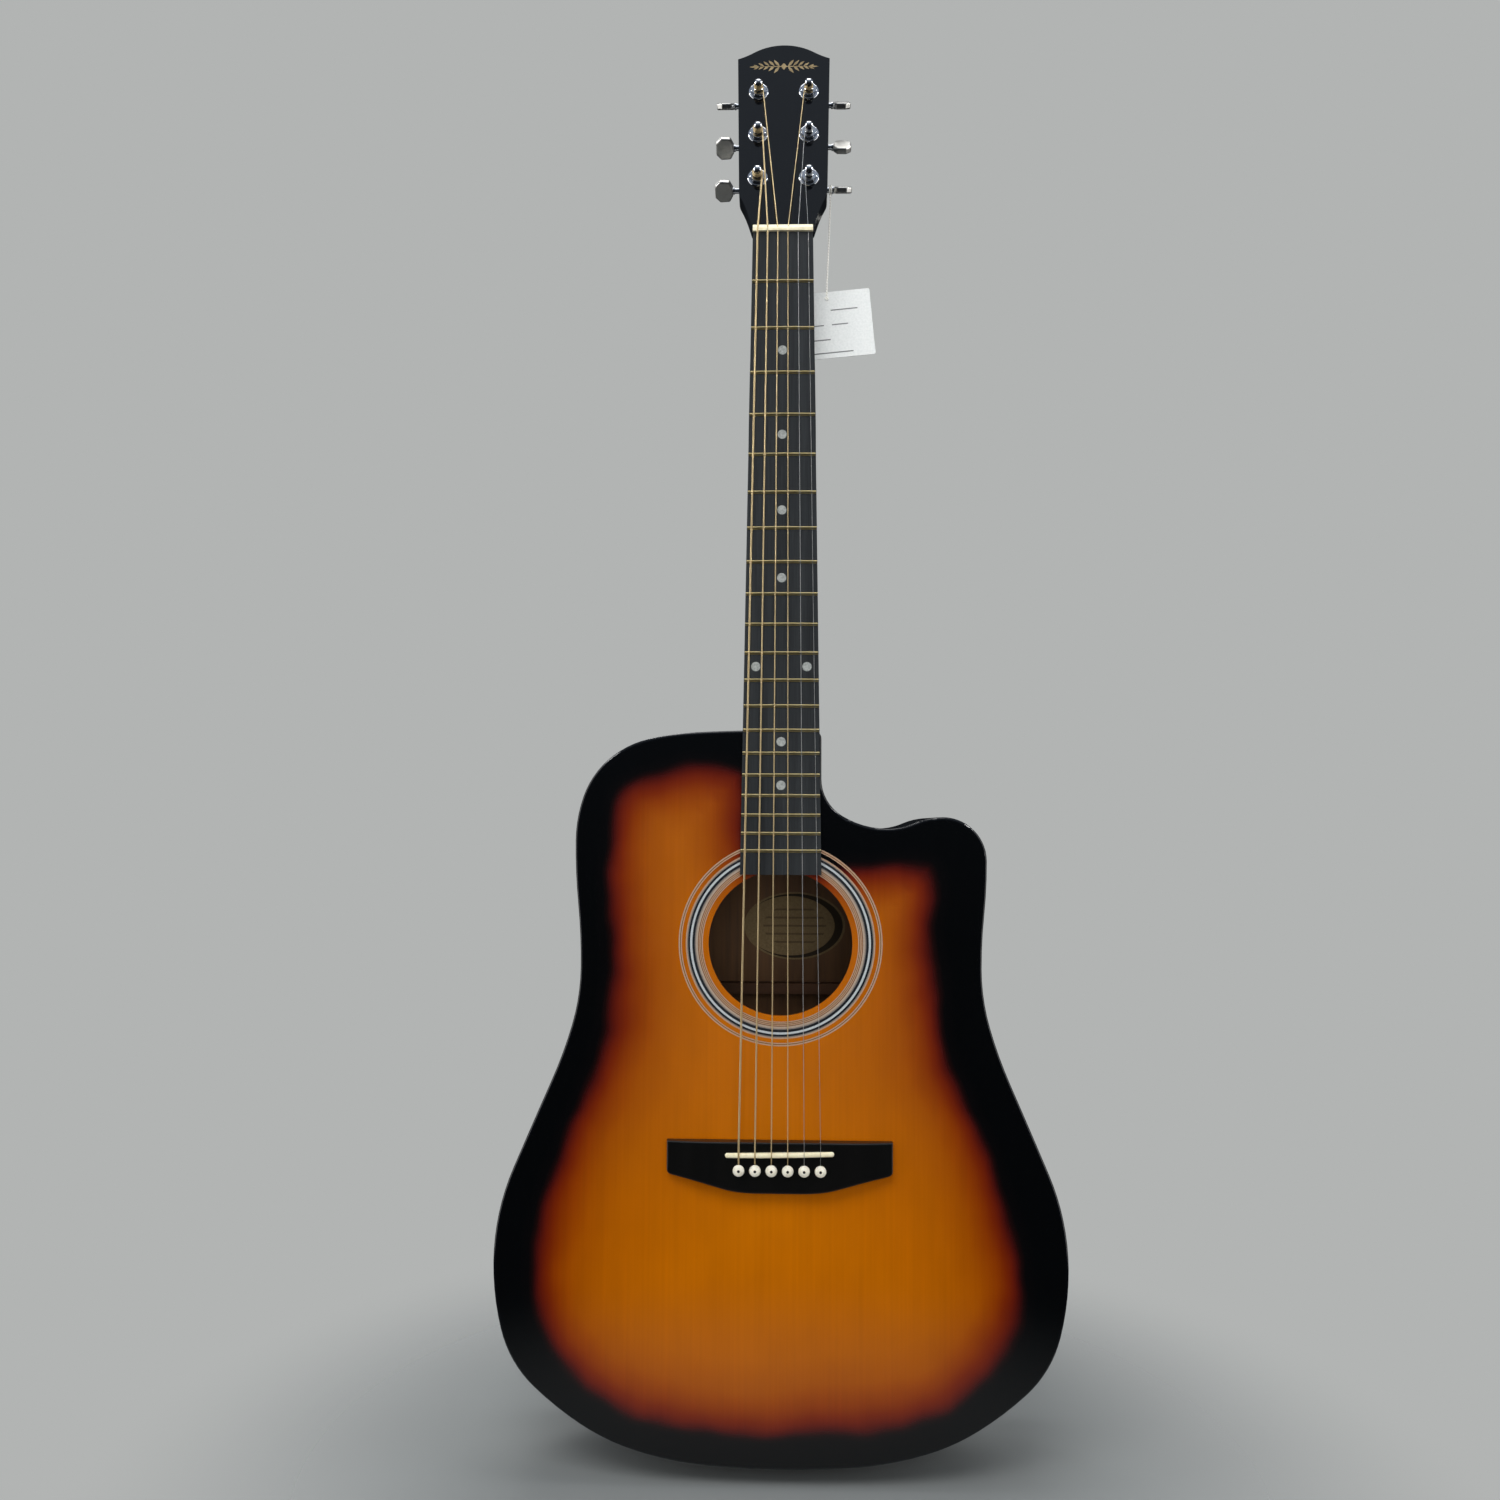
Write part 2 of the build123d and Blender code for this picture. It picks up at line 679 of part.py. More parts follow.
# Half of the headstock's outline: from the centre line, up the headstock, heading.
HEAD_SIDE = [(21.8, 0, 76), (30.8, 27, 64), (32.1, 33, 89)]
HEAD_TOP = [(34.5, 153.3, 161), (22.5, 159.3, 147), (0, 166, 180)]
HEAD_ROOT = -4.0  # how far the headstock's blank reaches under the nut


def head_face():
    start, end = HEAD_SIDE[0][:2], HEAD_TOP[-1][:2]
    edges = [Line((0, HEAD_ROOT), (start[0], HEAD_ROOT)), Line((start[0], HEAD_ROOT), start)]
    edges += smooth_outline(HEAD_SIDE) + [Line(HEAD_SIDE[-1][:2], HEAD_TOP[0][:2])]
    edges += smooth_outline(HEAD_TOP) + [Line(end, (0, HEAD_ROOT))]
    return both_halves(edges)


def holes_beside(posts_up, middle_h, radius, depth):
    """One bore at each tuner, posts_up further up the headstock than the post."""
    places = [FACE * Pos(side * TUNER_U, v + posts_up, middle_h) for side, v in POSTS]
    return [place * Cylinder(radius, depth) for place in places]


def post_holes(top, bottom):
    return holes_beside(0, (top + bottom) / 2, POST_HOLE_RADIUS, top - bottom)


def screw_holes():
    return holes_beside(SCREW_V, -HEAD_THICK + 4, SCREW_RADIUS, 8.01)


def heel_slice(y, half_width, length, power):
    plane = Plane(origin=(0, y, -BODY_TOP), x_dir=(-1, 0, 0), z_dir=(0, 1, 0))
    return oval_face(plane, half_width, length, power)


def neck():
    shaft_faces = []
    for down, width, depth, power in NECK_SECTIONS:
        plane = Plane(origin=(0, 0, -down), x_dir=(1, 0, 0), z_dir=(0, 0, 1))
        shaft_faces.append(oval_face(plane, width / 2, depth, power))
    shaft = loft(shaft_faces)
    heel = loft([heel_slice(*row) for row in HEEL_SLICES])
    slab = extrude(FACE * Pos(0, 0, -HEAD_THICK) * head_face(), amount=HEAD_THICK - OVERLAY_THICK)
    back_face = slab.faces().sort_by(Axis((0, 0, 0), FACE.z_dir))[0]
    slab = fillet(back_face.edges(), 1.5)
    above_nut = FACE * Pos(0, 100, 50 - OVERLAY_THICK) * Box(200, 200, 100)
    head = slab & block(HEAD_ACROSS, (-40, 90), (-200, -NUT_LENGTH))
    solid = shaft - above_nut + heel + head
    solid -= block(HEAD_ACROSS, (-60, 0), (-200, 400))
    solid -= block(HEAD_ACROSS, (-60, 200), (BODY_TOP, BODY_TOP + 100))
    solid += block(*TENON)
    solid -= truss_bore(TRUSS_RADIUS)
    solid -= post_holes(5, -HEAD_THICK - 1) + screw_holes()
    return max(solid.solids(), key=lambda s: s.volume)


def headstock_overlay():
    plate = extrude(FACE * Pos(0, 0, -OVERLAY_THICK) * head_face(), amount=OVERLAY_THICK)
    plate &= block(HEAD_ACROSS, (-60, 90), (-200, -NUT_LENGTH))
    return plate - post_holes(5, -HEAD_THICK)


def heel_cap():
    y, half_width, length, power = HEEL_SLICES[-1]
    plate = extrude(heel_slice(y, half_width, length, power), amount=HEEL_CAP_THICK)
    rim = plate.faces().sort_by(Axis.Y)[-1].edges()
    outer = [e for e in rim if e.center().Z > -BODY_TOP + 2]
    return fillet(outer, 1.0)


TRUSS_NUT_DOWN = BODY_TOP + 30
TRUSS_NUT_LENGTH = 13.0
TRUSS_NUT_RADIUS = 4.5
TRUSS_STUD_RADIUS = 2.5
TRUSS_KEY = 2.5  # half the width across the flats of the hexagon socket


def truss_rod():
    shank_end = TRUSS_NUT_DOWN - 1
    shank = rod((0, TRUSS_Y, -TRUSS_START), (0, TRUSS_Y, -shank_end), TRUSS_RADIUS)
    stud = rod((0, TRUSS_Y, -shank_end), (0, TRUSS_Y, -(TRUSS_NUT_DOWN + 7)), TRUSS_STUD_RADIUS)
    return shank + stud


def truss_rod_nut():
    top, bottom = -TRUSS_NUT_DOWN, -(TRUSS_NUT_DOWN + TRUSS_NUT_LENGTH)
    barrel = rod((0, TRUSS_Y, top), (0, TRUSS_Y, bottom), TRUSS_NUT_RADIUS)
    barrel = chamfer(barrel.edges().filter_by(GeomType.CIRCLE), 0.5)
    barrel -= rod((0, TRUSS_Y, top + 1), (0, TRUSS_Y, top - 7.5), TRUSS_STUD_RADIUS + RUNNING)
    socket = Plane(origin=(0, TRUSS_Y, bottom)) * RegularPolygon(TRUSS_KEY, 6, major_radius=False)
    return barrel - extrude(socket, amount=5)


# ---------------------------------------------------------------- tuners
# Each part below is drawn for a treble-side tuner in the headstock's plane, with the post on the
# local z axis and the knob towards local +x, and is mirrored for the bass side.

MOST_TURNS = 6
WAIST_END = 8.2
LEAD = 2 * math.pi * WHEEL_PITCH_RADIUS / WHEEL_TEETH


def along_shaft(radius, start, end):
    return Pos((start + end) / 2, WORM_OFFSET, -WORM_DEPTH) * Rot(0, 90, 0) * Cylinder(radius, end - start)


def tuner_housing():
    middle = Pos((HOUSING_OUT - HOUSING_IN) / 2, 1.35, -HEAD_THICK - HOUSING_DEEP / 2)
    case = middle * Box(HOUSING_OUT + HOUSING_IN, 17.7, HOUSING_DEEP)
    case = fillet(case.edges().filter_by(Axis.Z), 3.0)
    case = fillet(case.faces().sort_by(Axis.Z)[0].edges(), 2.0)
    ear = Pos(0, -9, -HEAD_THICK - EAR_THICK / 2) * Box(7, 9, EAR_THICK)
    ear = fillet(ear.edges().filter_by(Axis.Z).sort_by(Axis.Y)[:2], 3.4)
    case += ear
    wheel_room = Pos(0, 0, -WORM_DEPTH) * Cylinder(WHEEL_PITCH_RADIUS + 1, WHEEL_THICK + 1)
    post_bore = Pos(0, 0, -HEAD_THICK - 1) * Cylinder(POST_RADIUS + RUNNING, 8)
    foot_bore = Pos(0, 0, -23) * Cylinder(POST_FOOT_RADIUS + RUNNING, 3.6)
    worm_room = along_shaft(WORM_RADIUS + 0.3, -5.2, 5.2)
    outer_bore = along_shaft(SHAFT_RADIUS + RUNNING, 5, HOUSING_OUT + 1)
    inner_bore = along_shaft(SHAFT_TIP_RADIUS + RUNNING, -7.2, -5)
    screw_bore = Pos(0, SCREW_V, -HEAD_THICK) * Cylinder(SCREW_RADIUS + 0.1, 10)
    return case - [wheel_room, post_bore, foot_bore, worm_room, outer_bore, inner_bore, screw_bore]


def tuner_washer():
    bore = POST_HOLE_RADIUS + 0.05
    rim = [
        Line((bore, 0), (7.5, 0)),
        ThreePointArc((7.5, 0), (7.25, 0.55), (6.6, 0.85)),
        Line((6.6, 0.85), (bore, 0.95)),
        Line((bore, 0.95), (bore, 0)),
    ]
    return revolve(Plane.XZ * make_face(rim), axis=Axis.Z)


def tuner_bushing():
    """A sleeve through the headstock under a six-sided collar."""
    hexagon = RegularPolygon(5.4, 6, major_radius=False)
    collar = Pos(0, 0, 2.05) * extrude(hexagon, amount=1.1, both=True)
    cap = Pos(0, 0, 2.0) * Cylinder(6.0, 2.2)
    cap = fillet(cap.edges().sort_by(Axis.Z)[-1], 1.0)
    sleeve = Pos(0, 0, -5.5) * Cylinder(POST_HOLE_RADIUS - 0.05, 13)
    return (collar & cap) + sleeve - Cylinder(POST_RADIUS + RUNNING, 40)


def tuner_screw():
    seat = -HEAD_THICK - EAR_THICK
    head = Pos(0, SCREW_V, seat - 0.6) * Cylinder(2.3, 1.2)
    head = fillet(head.edges().sort_by(Axis.Z)[0], 0.7)
    cross = [Pos(0, SCREW_V, seat - 1.2) * Rot(0, 0, turn) * Box(0.6, 3.0, 1.2) for turn in (0, 90)]
    shank = Pos(0, SCREW_V, -HEAD_THICK + 2.4) * Cylinder(SCREW_RADIUS, 9.2)
    return head - cross + shank


def worm_wheel():
    wheel = Pos(0, 0, -WORM_DEPTH) * Cylinder(WHEEL_PITCH_RADIUS + 0.45, WHEEL_THICK)
    slant = math.degrees(math.atan(LEAD / (2 * math.pi * (WORM_OFFSET - WHEEL_PITCH_RADIUS))))
    gap = make_face(Polyline((-0.36, 3.1), (0.36, 3.1), (0.72, 4.5), (-0.72, 4.5), close=True))
    cutter = Pos(0, 0, -WORM_DEPTH) * Rot(0, -slant, 0) * extrude(gap, amount=3, both=True)
    return wheel - [Rot(0, 0, 360 * i / WHEEL_TEETH) * cutter for i in range(WHEEL_TEETH)]


def tuner_post():
    dome_tall = POST_TOP - POST_SHOULDER
    dome_radius = (POST_RADIUS**2 + dome_tall**2) / (2 * dome_tall)
    half_turn = math.asin(POST_RADIUS / dome_radius) / 2
    on_dome = (dome_radius * math.sin(half_turn), POST_TOP - dome_radius * (1 - math.cos(half_turn)))
    corners = [
        (0, POST_TOP),
        (0, POST_FOOT),
        (POST_FOOT_RADIUS, POST_FOOT),
        (POST_FOOT_RADIUS, -21),
        (POST_RADIUS, -21),
        (POST_RADIUS, 3.3),
        (WAIST_RADIUS, 3.7),
        (WAIST_RADIUS, 8.3),
        (POST_RADIUS, 8.8),
        (POST_RADIUS, POST_SHOULDER),
    ]
    outline = [Line(*pair) for pair in zip(corners, corners[1:])]
    outline.append(ThreePointArc((POST_RADIUS, POST_SHOULDER), on_dome, (0, POST_TOP)))
    shaft = revolve(Plane.XZ * make_face(outline), axis=Axis.Z)
    string_hole = Pos(0, 0, 6.2) * Rot(90, 0, 0) * Cylinder(0.9, 10)
    return shaft + worm_wheel() - string_hole


def tuner_worm():
    height = WORM_TURNS * LEAD
    path = Helix(pitch=LEAD, height=height, radius=WORM_CORE, center=(0, 0, -height / 2))
    tall = WORM_RADIUS - WORM_CORE
    tooth = Polyline((-0.1, -0.37), (tall, -0.2), (tall, 0.2), (-0.1, 0.37), close=True)
    start = path @ 0
    section = Plane(origin=start, x_dir=(start.X, start.Y, 0), z_dir=path % 0) * make_face(tooth)
    thread = sweep(section, path=path, is_frenet=True)
    turn = 180 * WORM_TURNS  # puts a thread crest against the wheel at the middle of the worm
    core = Rot(0, 0, turn) * (Cylinder(WORM_CORE, height + 2) + thread)
    # Local +X of the upright worm points at the wheel, local +Z points out along the shaft.
    upright = Plane(origin=(0, WORM_OFFSET, -WORM_DEPTH), x_dir=(0, -1, 0), z_dir=(1, 0, 0))
    reach = BUTTON_START - TUNER_U
    return (
        upright * core
        + along_shaft(SHAFT_TIP_RADIUS, -7.0, -4.9)
        + along_shaft(SHAFT_RADIUS, 4.9, reach + 0.01)
        + along_shaft(2.5, reach - 1.2, reach)
        + along_shaft(TANG_RADIUS, reach - 0.5, reach + TANG_LENGTH)
    )


def tuner_button(turn):
    upper = [(0, 3.0), (2.6, 7.6), (9.6, 8.0), (BUTTON_LENGTH, 4.3)]
    lower = [(x, -y) for x, y in reversed(upper)]
    plan = make_face(Polyline(*upper, *lower, close=True))
    plan = fillet(plan.vertices(), 1.6)
    plate = extrude(plan, amount=BUTTON_THICK / 2, both=True)
    rims = [plate.faces().sort_by(Axis.Z)[0], plate.faces().sort_by(Axis.Z)[-1]]
    plate = fillet([e for rim in rims for e in rim.edges()], 1.2)
    bore = Pos(TANG_LENGTH / 2, 0, 0) * Rot(0, 90, 0) * Cylinder(TANG_RADIUS + 0.03, TANG_LENGTH + 0.1)
    button = Rot(turn, 0, 0) * (plate - bore)
    return Pos(BUTTON_START - TUNER_U, WORM_OFFSET, -WORM_DEPTH) * button


def string_winding(i):
    """Closed turns of string stacked on the post's waist above where the string arrives."""
    radius = STRING_RADII[i]
    pitch = 2 * radius
    ring = Torus(WAIST_RADIUS + STRING_CLEARANCE + radius, radius - 0.01)
    first = STRING_LIFT + pitch + GAP
    count = min(MOST_TURNS, int((WAIST_END - first + radius) / pitch))
    return [Pos(0, 0, first + pitch * k) * ring for k in range(count)]


def on_headstock(side, v, shape):
    placed = shape if side > 0 else mirror(shape, about=Plane.YZ)
    return FACE * Pos(side * TUNER_U, v, 0) * placed


# ---------------------------------------------------------------- hanging tag

TAG_SIZE = (64.0, 50.0)
TAG_THICK = 0.4
TAG_TURN = 5.5
THREAD_RADIUS = 0.6
TAG_HOLE = (32.4, 33.4, -33.0)
TAG_HOLE_IN = 5.0  # from the tag's upper edge
TAG_HOLE_RADIUS = 1.6
KNOT_RADIUS = 1.7
LOOP_X = 35.0
BEND_SHARE = 0.45  # of the shorter run beside a bend, taken up by the bend


def tag_plane():
    turn = math.radians(TAG_TURN)
    return Plane(origin=TAG_HOLE, x_dir=(math.cos(turn), 0, math.sin(turn)), z_dir=(0, -1, 0))


def hang_tag():
    sheet = Pos(0, -TAG_SIZE[1] / 2 + TAG_HOLE_IN, 0) * RectangleRounded(*TAG_SIZE, 1.5)
    sheet -= Circle(TAG_HOLE_RADIUS)
    return extrude(tag_plane() * sheet, amount=TAG_THICK / 2, both=True)


def thread_points():
    shaft = face_point(0, TUNER_V[0] + WORM_OFFSET, -WORM_DEPTH)
    top = (LOOP_X, shaft[1], shaft[2] - loop_radius() - THREAD_RADIUS)
    return [
        top,
        (LOOP_X - 0.1, top[1] - 0.1, top[2] - 9),
        (LOOP_X - 0.5, top[1] + 0.1, top[2] - 21),
        (LOOP_X - 1.0, top[1] + 0.4, top[2] - 36),
        (LOOP_X - 1.7, top[1] + 0.6, top[2] - 52),
        (LOOP_X - 2.3, top[1] + 0.9, top[2] - 66),
        (TAG_HOLE[0], TAG_HOLE[1] - TAG_THICK / 2 - THREAD_RADIUS - 0.15, TAG_HOLE[2]),
    ]


def loop_radius():
    return SHAFT_RADIUS + 0.4 + THREAD_RADIUS


def tag_thread():
    points = [Vector(*point) for point in thread_points()]
    radii = []
    for before, here, after in zip(points, points[1:], points[2:]):
        run_in, run_out = here - before, after - here
        half_turn = math.radians(run_in.get_angle(run_out)) / 2
        radii.append(BEND_SHARE * min(run_in.length, run_out.length) / math.tan(half_turn))
    path = FilletPolyline(*points, radius=radii)
    section = Plane(origin=points[0], z_dir=points[1] - points[0]) * Circle(THREAD_RADIUS)
    tube = sweep(section, path=path)
    expected = math.pi * THREAD_RADIUS**2 * path.length
    print("thread bend radii", [round(radius, 1) for radius in radii])
    print("thread length", round(path.length, 1))
    print("thread volume", round(tube.volume, 2), "section times length", round(expected, 2))
    return tube - knot_ball()


def knot_ball():
    return Pos(*TAG_HOLE) * Sphere(KNOT_RADIUS)


def thread_knot():
    """The knot in front of the tag's hole, flat against the tag."""
    x, y, z = TAG_HOLE
    front_y = y - TAG_THICK / 2
    return knot_ball() & block((x - 5, x + 5), (front_y - 5, front_y), (-z - 5, -z + 5))


def thread_loop():
    shaft = face_point(0, TUNER_V[0] + WORM_OFFSET, -WORM_DEPTH)
    return Pos(LOOP_X, shaft[1], shaft[2]) * Rot(0, 90, 0) * Torus(loop_radius(), THREAD_RADIUS)


# ---------------------------------------------------------------- write every node


def main():
    write_node("soundboard", soundboard())
    write_node("rosette", *rosette())
    write_node("back_plate", back_plate())
    write_node("top_binding", top_binding())
    write_node("back_binding", back_binding())
    bass, treble = ribs()
    write_node("rib_bass", bass)
    write_node("rib_treble", treble)
    write_node("kerfed_linings", *linings())
    write_node("neck_block", neck_block())
    write_node("tail_block", tail_block())
    write_node("soundboard_braces", *soundboard_braces())
    write_node("bridge_plate", bridge_plate())
    write_node("back_braces", *back_braces())
    write_node("paper_label", paper_label())
    write_node("end_pin", end_pin())
    write_node("bridge", bridge())
    write_node("saddle", saddle())
    write_node("bridge_pins", *bridge_pins())
    write_node("ball_ends", *ball_ends())
    write_node("wound_strings", *STRINGS[:WOUND_COUNT])
    write_node("plain_strings", *STRINGS[WOUND_COUNT:])

    blank = board_blank()
    rails, tangs = frets()
    dots = position_dots(blank)
    write_node("fretboard", blank - dots - tangs)
    write_node("frets", *rails)
    write_node("position_dots", *dots)
    write_node("nut", nut())

    write_node("neck", neck())
    write_node("headstock_overlay", headstock_overlay())
    write_node("heel_cap", heel_cap())
    write_node("truss_rod", truss_rod())
    write_node("truss_rod_nut", truss_rod_nut())

    fixed = {
        "tuner_housings": tuner_housing(),
        "tuner_bushings": tuner_bushing(),
        "tuner_washers": tuner_washer(),
        "tuner_screws": tuner_screw(),
    }
    for name, shape in fixed.items():
        write_node(name, *[on_headstock(side, v, shape) for side, v in POSTS])
    post, worm = tuner_post(), tuner_worm()
    for i, (side, v) in enumerate(POSTS):
        number = i + 1
        button = tuner_button(BUTTON_TURNS[i])
        winding = [on_headstock(side, v, ring) for ring in string_winding(i)]
        write_node(f"tuner_post_{number}", on_headstock(side, v, post))
        write_node(f"tuner_worm_{number}", on_headstock(side, v, worm))
        write_node(f"tuner_button_{number}", on_headstock(side, v, button))
        write_node(f"string_winding_{number}", *winding)

    write_node("hang_tag", hang_tag())
    write_node("tag_thread", tag_thread(), thread_loop(), thread_knot())


main()
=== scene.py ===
import json
import math

import bpy
import numpy as np
from mathutils import Matrix, Vector
from mathutils.bvhtree import BVHTree


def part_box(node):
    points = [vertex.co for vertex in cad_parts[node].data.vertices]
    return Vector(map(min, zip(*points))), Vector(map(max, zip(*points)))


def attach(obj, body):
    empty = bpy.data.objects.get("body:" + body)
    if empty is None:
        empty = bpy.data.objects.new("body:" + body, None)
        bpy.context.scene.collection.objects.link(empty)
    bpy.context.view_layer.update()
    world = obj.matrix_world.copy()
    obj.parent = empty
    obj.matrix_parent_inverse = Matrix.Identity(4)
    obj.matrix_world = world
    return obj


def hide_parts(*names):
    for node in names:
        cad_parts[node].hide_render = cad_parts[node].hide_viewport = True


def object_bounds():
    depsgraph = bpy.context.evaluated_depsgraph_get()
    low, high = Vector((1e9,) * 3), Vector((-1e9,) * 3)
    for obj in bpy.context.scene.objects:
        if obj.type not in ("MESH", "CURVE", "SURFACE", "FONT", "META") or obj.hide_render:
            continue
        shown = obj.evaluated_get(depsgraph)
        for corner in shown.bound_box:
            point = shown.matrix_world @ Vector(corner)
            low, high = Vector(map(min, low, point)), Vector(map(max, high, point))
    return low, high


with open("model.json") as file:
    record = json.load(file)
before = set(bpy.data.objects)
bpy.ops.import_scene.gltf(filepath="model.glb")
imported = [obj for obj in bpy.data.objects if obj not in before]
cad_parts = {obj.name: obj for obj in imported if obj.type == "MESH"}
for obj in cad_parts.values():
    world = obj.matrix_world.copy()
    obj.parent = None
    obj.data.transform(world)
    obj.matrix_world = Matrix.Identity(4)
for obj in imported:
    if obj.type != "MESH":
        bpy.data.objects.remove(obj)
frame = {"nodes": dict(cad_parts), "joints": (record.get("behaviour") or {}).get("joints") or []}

CAD_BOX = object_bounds()
MM = 0.001
NODES = frame["nodes"]
JOINTS = {joint["name"]: joint for joint in frame["joints"]}

# ---------------------------------------------------------------- sizes, in millimetres

# The soundhole's middle, down from the nut's front face.
HOLE_DOWN = 504.5
# The headstock leans back by this many degrees, from the back of the nut.
HEAD_TILT = 14.0
NUT_LENGTH = 5.0
# How far up the headstock its ornament is.
ORNAMENT_UP = 146.0
# The label inside: its middle, across and down from the nut, and half its width and height. The
# inner edge of its ring is shifted sideways.
LABEL_MIDDLE = (10.5, 500.0)
LABEL_HALF = (39.0, 26.0)
LABEL_RING_SHIFT = 3.5
STRING_RADII = (0.67, 0.53, 0.40, 0.30, 0.20, 0.15)
WOUND_STRINGS = 4

# A tuning post: the radius of its waist, and how far above the headstock the string's first turn
# lies and the waist ends.
WAIST_RADIUS = 2.5
STRING_LIFT = 4.2
WAIST_TOP = 8.6
FEWEST_TURNS, MOST_TURNS = 2, 4
# Clear room between the string's turns and the post, and between one turn and the next.
POST_GAP = 0.1
TURN_GAP = 0.04

# The bridge pins, and the black dot in the head of each.
PIN_COUNT = 6
PIN_HEAD_RADIUS = 4.0
PIN_DOT_RADIUS = 0.95
PIN_DOT_FLATNESS = 0.25
PIN_DOT_DEPTH = 0.08

# The gold ornament: pairs of leaves on each side, where the first is, how far each is from the
# last, and how much a leaf narrows towards its ends.
GOLD_THICKNESS = 0.05
SPRIG_LEAVES = 5
FIRST_LEAF = 3.2
LEAF_STEP = 3.9
LEAF_POINT = 0.55
STEM_SIZE = (44, 0.9)
BUD_SIZE = (6.0, 4.2)
BUD_LIFT = 0.03
TIP_SIZE = (6.5, 1.6)
TIP_PLACE = (22.5, -0.2)

# The hanging tag: where its hole is, and how many degrees it hangs turned.
TAG_HOLE = (32.4, 33.4, -33.0)
TAG_TURN = 5.5
TAG_HALF_THICKNESS = 0.2
# Plain rules printed on the tag: down from its hole, and from where to where across it.
CARD_RULES = [(9, -20, -12), (9, 2, 22), (20, -22, -4), (20, 2, 14), (31, -24, 0), (41, -26, 16)]
CARD_RULE_HALF = 0.45

# Where the tag's thread runs, from the shaft of the lowest treble tuner down to the tag's hole.
THREAD_ROUTE = [
    (35.0, 31.55, 45.37), (34.9, 31.45, 36.37), (34.5, 31.65, 24.37), (34.0, 31.95, 9.37),
    (33.3, 32.15, -6.63), (32.7, 32.45, -20.63), (32.4, 32.45, -33.0),
]
THREAD_RADIUS = 0.6
# The loop round the shaft: its cord's radius, and where along the shaft its two turns lie.
LOOP_CORD_RADIUS = 0.55
LOOP_SHIFTS = (-0.55, 0.55)
# How many degrees a turn of the loop leans for each millimetre it is shifted.
LOOP_LEAN = 4
# The knot's rounds: each one's tilt in degrees, its radius and how far it is in front of the tag.
KNOT_CORD_RADIUS = 0.5
KNOT_ROUNDS = [(25, 1.0, 0.75), (-35, 0.8, 0.95), (85, 0.7, 0.8)]

# The soundboard's face is cut into squares of this size, to carry the sunburst.
BURST_GRID = 9
# The colour of the sunburst by the distance inside its edge.
BURST_COLOURS = [
    (-12, (4, 5, 6)), (-5, (7, 6, 7)), (-2, (24, 8, 8)), (1, (58, 12, 10)), (5, (90, 22, 8)),
    (10, (110, 34, 4)), (17, (130, 52, 1)), (30, (151, 73, 0)), (50, (166, 86, 0)),
    (80, (175, 93, 0)), (150, (186, 102, 0)),
]

# Where the black of the sunburst begins: across, and down from the nut.
BURST_EDGE = [
    (-29, 387), (-57, 382), (-85, 388), (-107, 400), (-117, 424), (-118, 460), (-115, 515),
    (-121, 572), (-143, 627), (-163, 682), (-169, 732), (-162, 770), (-141, 798), (-105, 823),
    (-60, 834), (0, 837), (60, 832), (104, 822), (137, 800), (159, 766), (163, 725), (154, 678),
    (133, 624), (112, 570), (106, 515), (107, 474), (105, 458), (96, 452), (60, 450), (20, 450),
    (-12, 446), (-23, 430), (-24, 404),
]


def head_point(u, v, h):
    """A point given across, up and out from the sloping face of the headstock, in metres."""
    tilt = math.radians(HEAD_TILT)
    y = v * math.sin(tilt) - h * math.cos(tilt)
    z = NUT_LENGTH + v * math.cos(tilt) + h * math.sin(tilt)
    return Vector((u, y, z)) * MM


def head_place(u, v, h):
    """The matrix that stands a piece on the face of the headstock: X across, Y up, Z out."""
    tilt = math.radians(HEAD_TILT)
    turn = Matrix.Rotation(math.radians(90) - tilt, 4, "X")
    return Matrix.Translation(head_point(u, v, h)) @ turn


# ---------------------------------------------------------------- camera

# Where the camera stands and what it looks at, in metres; its lens and film width, in
# millimetres; and how far it leans, in degrees.
CAMERA_SPOT = Vector((0.0047, -0.9099, -0.4239))
CAMERA_TARGET = Vector((-0.0218, 0.0, -0.3701))
CAMERA_LENS = 31.2
CAMERA_FILM = 36
CAMERA_LEAN = 0.29


def set_up_camera():
    data = bpy.data.cameras.new("camera")
    data.lens = CAMERA_LENS
    data.sensor_width = CAMERA_FILM
    camera = bpy.data.objects.new("camera", data)
    bpy.context.scene.collection.objects.link(camera)
    look = (CAMERA_TARGET - CAMERA_SPOT).to_track_quat("-Z", "Y").to_matrix().to_4x4()
    lean = Matrix.Rotation(math.radians(CAMERA_LEAN), 4, "Z")
    camera.matrix_world = Matrix.Translation(CAMERA_SPOT) @ look @ lean
    bpy.context.scene.camera = camera


# ---------------------------------------------------------------- ways of working


def pick_nothing():
    if bpy.context.object and bpy.context.object.mode != "OBJECT":
        bpy.ops.object.mode_set(mode="OBJECT")
    bpy.ops.object.select_all(action="DESELECT")


def work_on(piece):
    pick_nothing()
    bpy.context.view_layer.objects.active = piece
    piece.select_set(True)


def new_piece(name):
    """Names the primitive that was just added."""
    piece = bpy.context.object
    piece.name = name
    return piece


def apply_place(piece):
    work_on(piece)
    bpy.ops.object.transform_apply(location=True, rotation=True, scale=True)


def apply_modifier(piece, kind, **settings):
    work_on(piece)
    modifier = piece.modifiers.new(kind.lower(), kind)
    for name, value in settings.items():
        setattr(modifier, name, value)
    bpy.ops.object.modifier_apply(modifier=modifier.name)


# Faces that meet at a smaller angle than this are shaded as one smooth surface, in degrees.
SMOOTH_ANGLE = 30


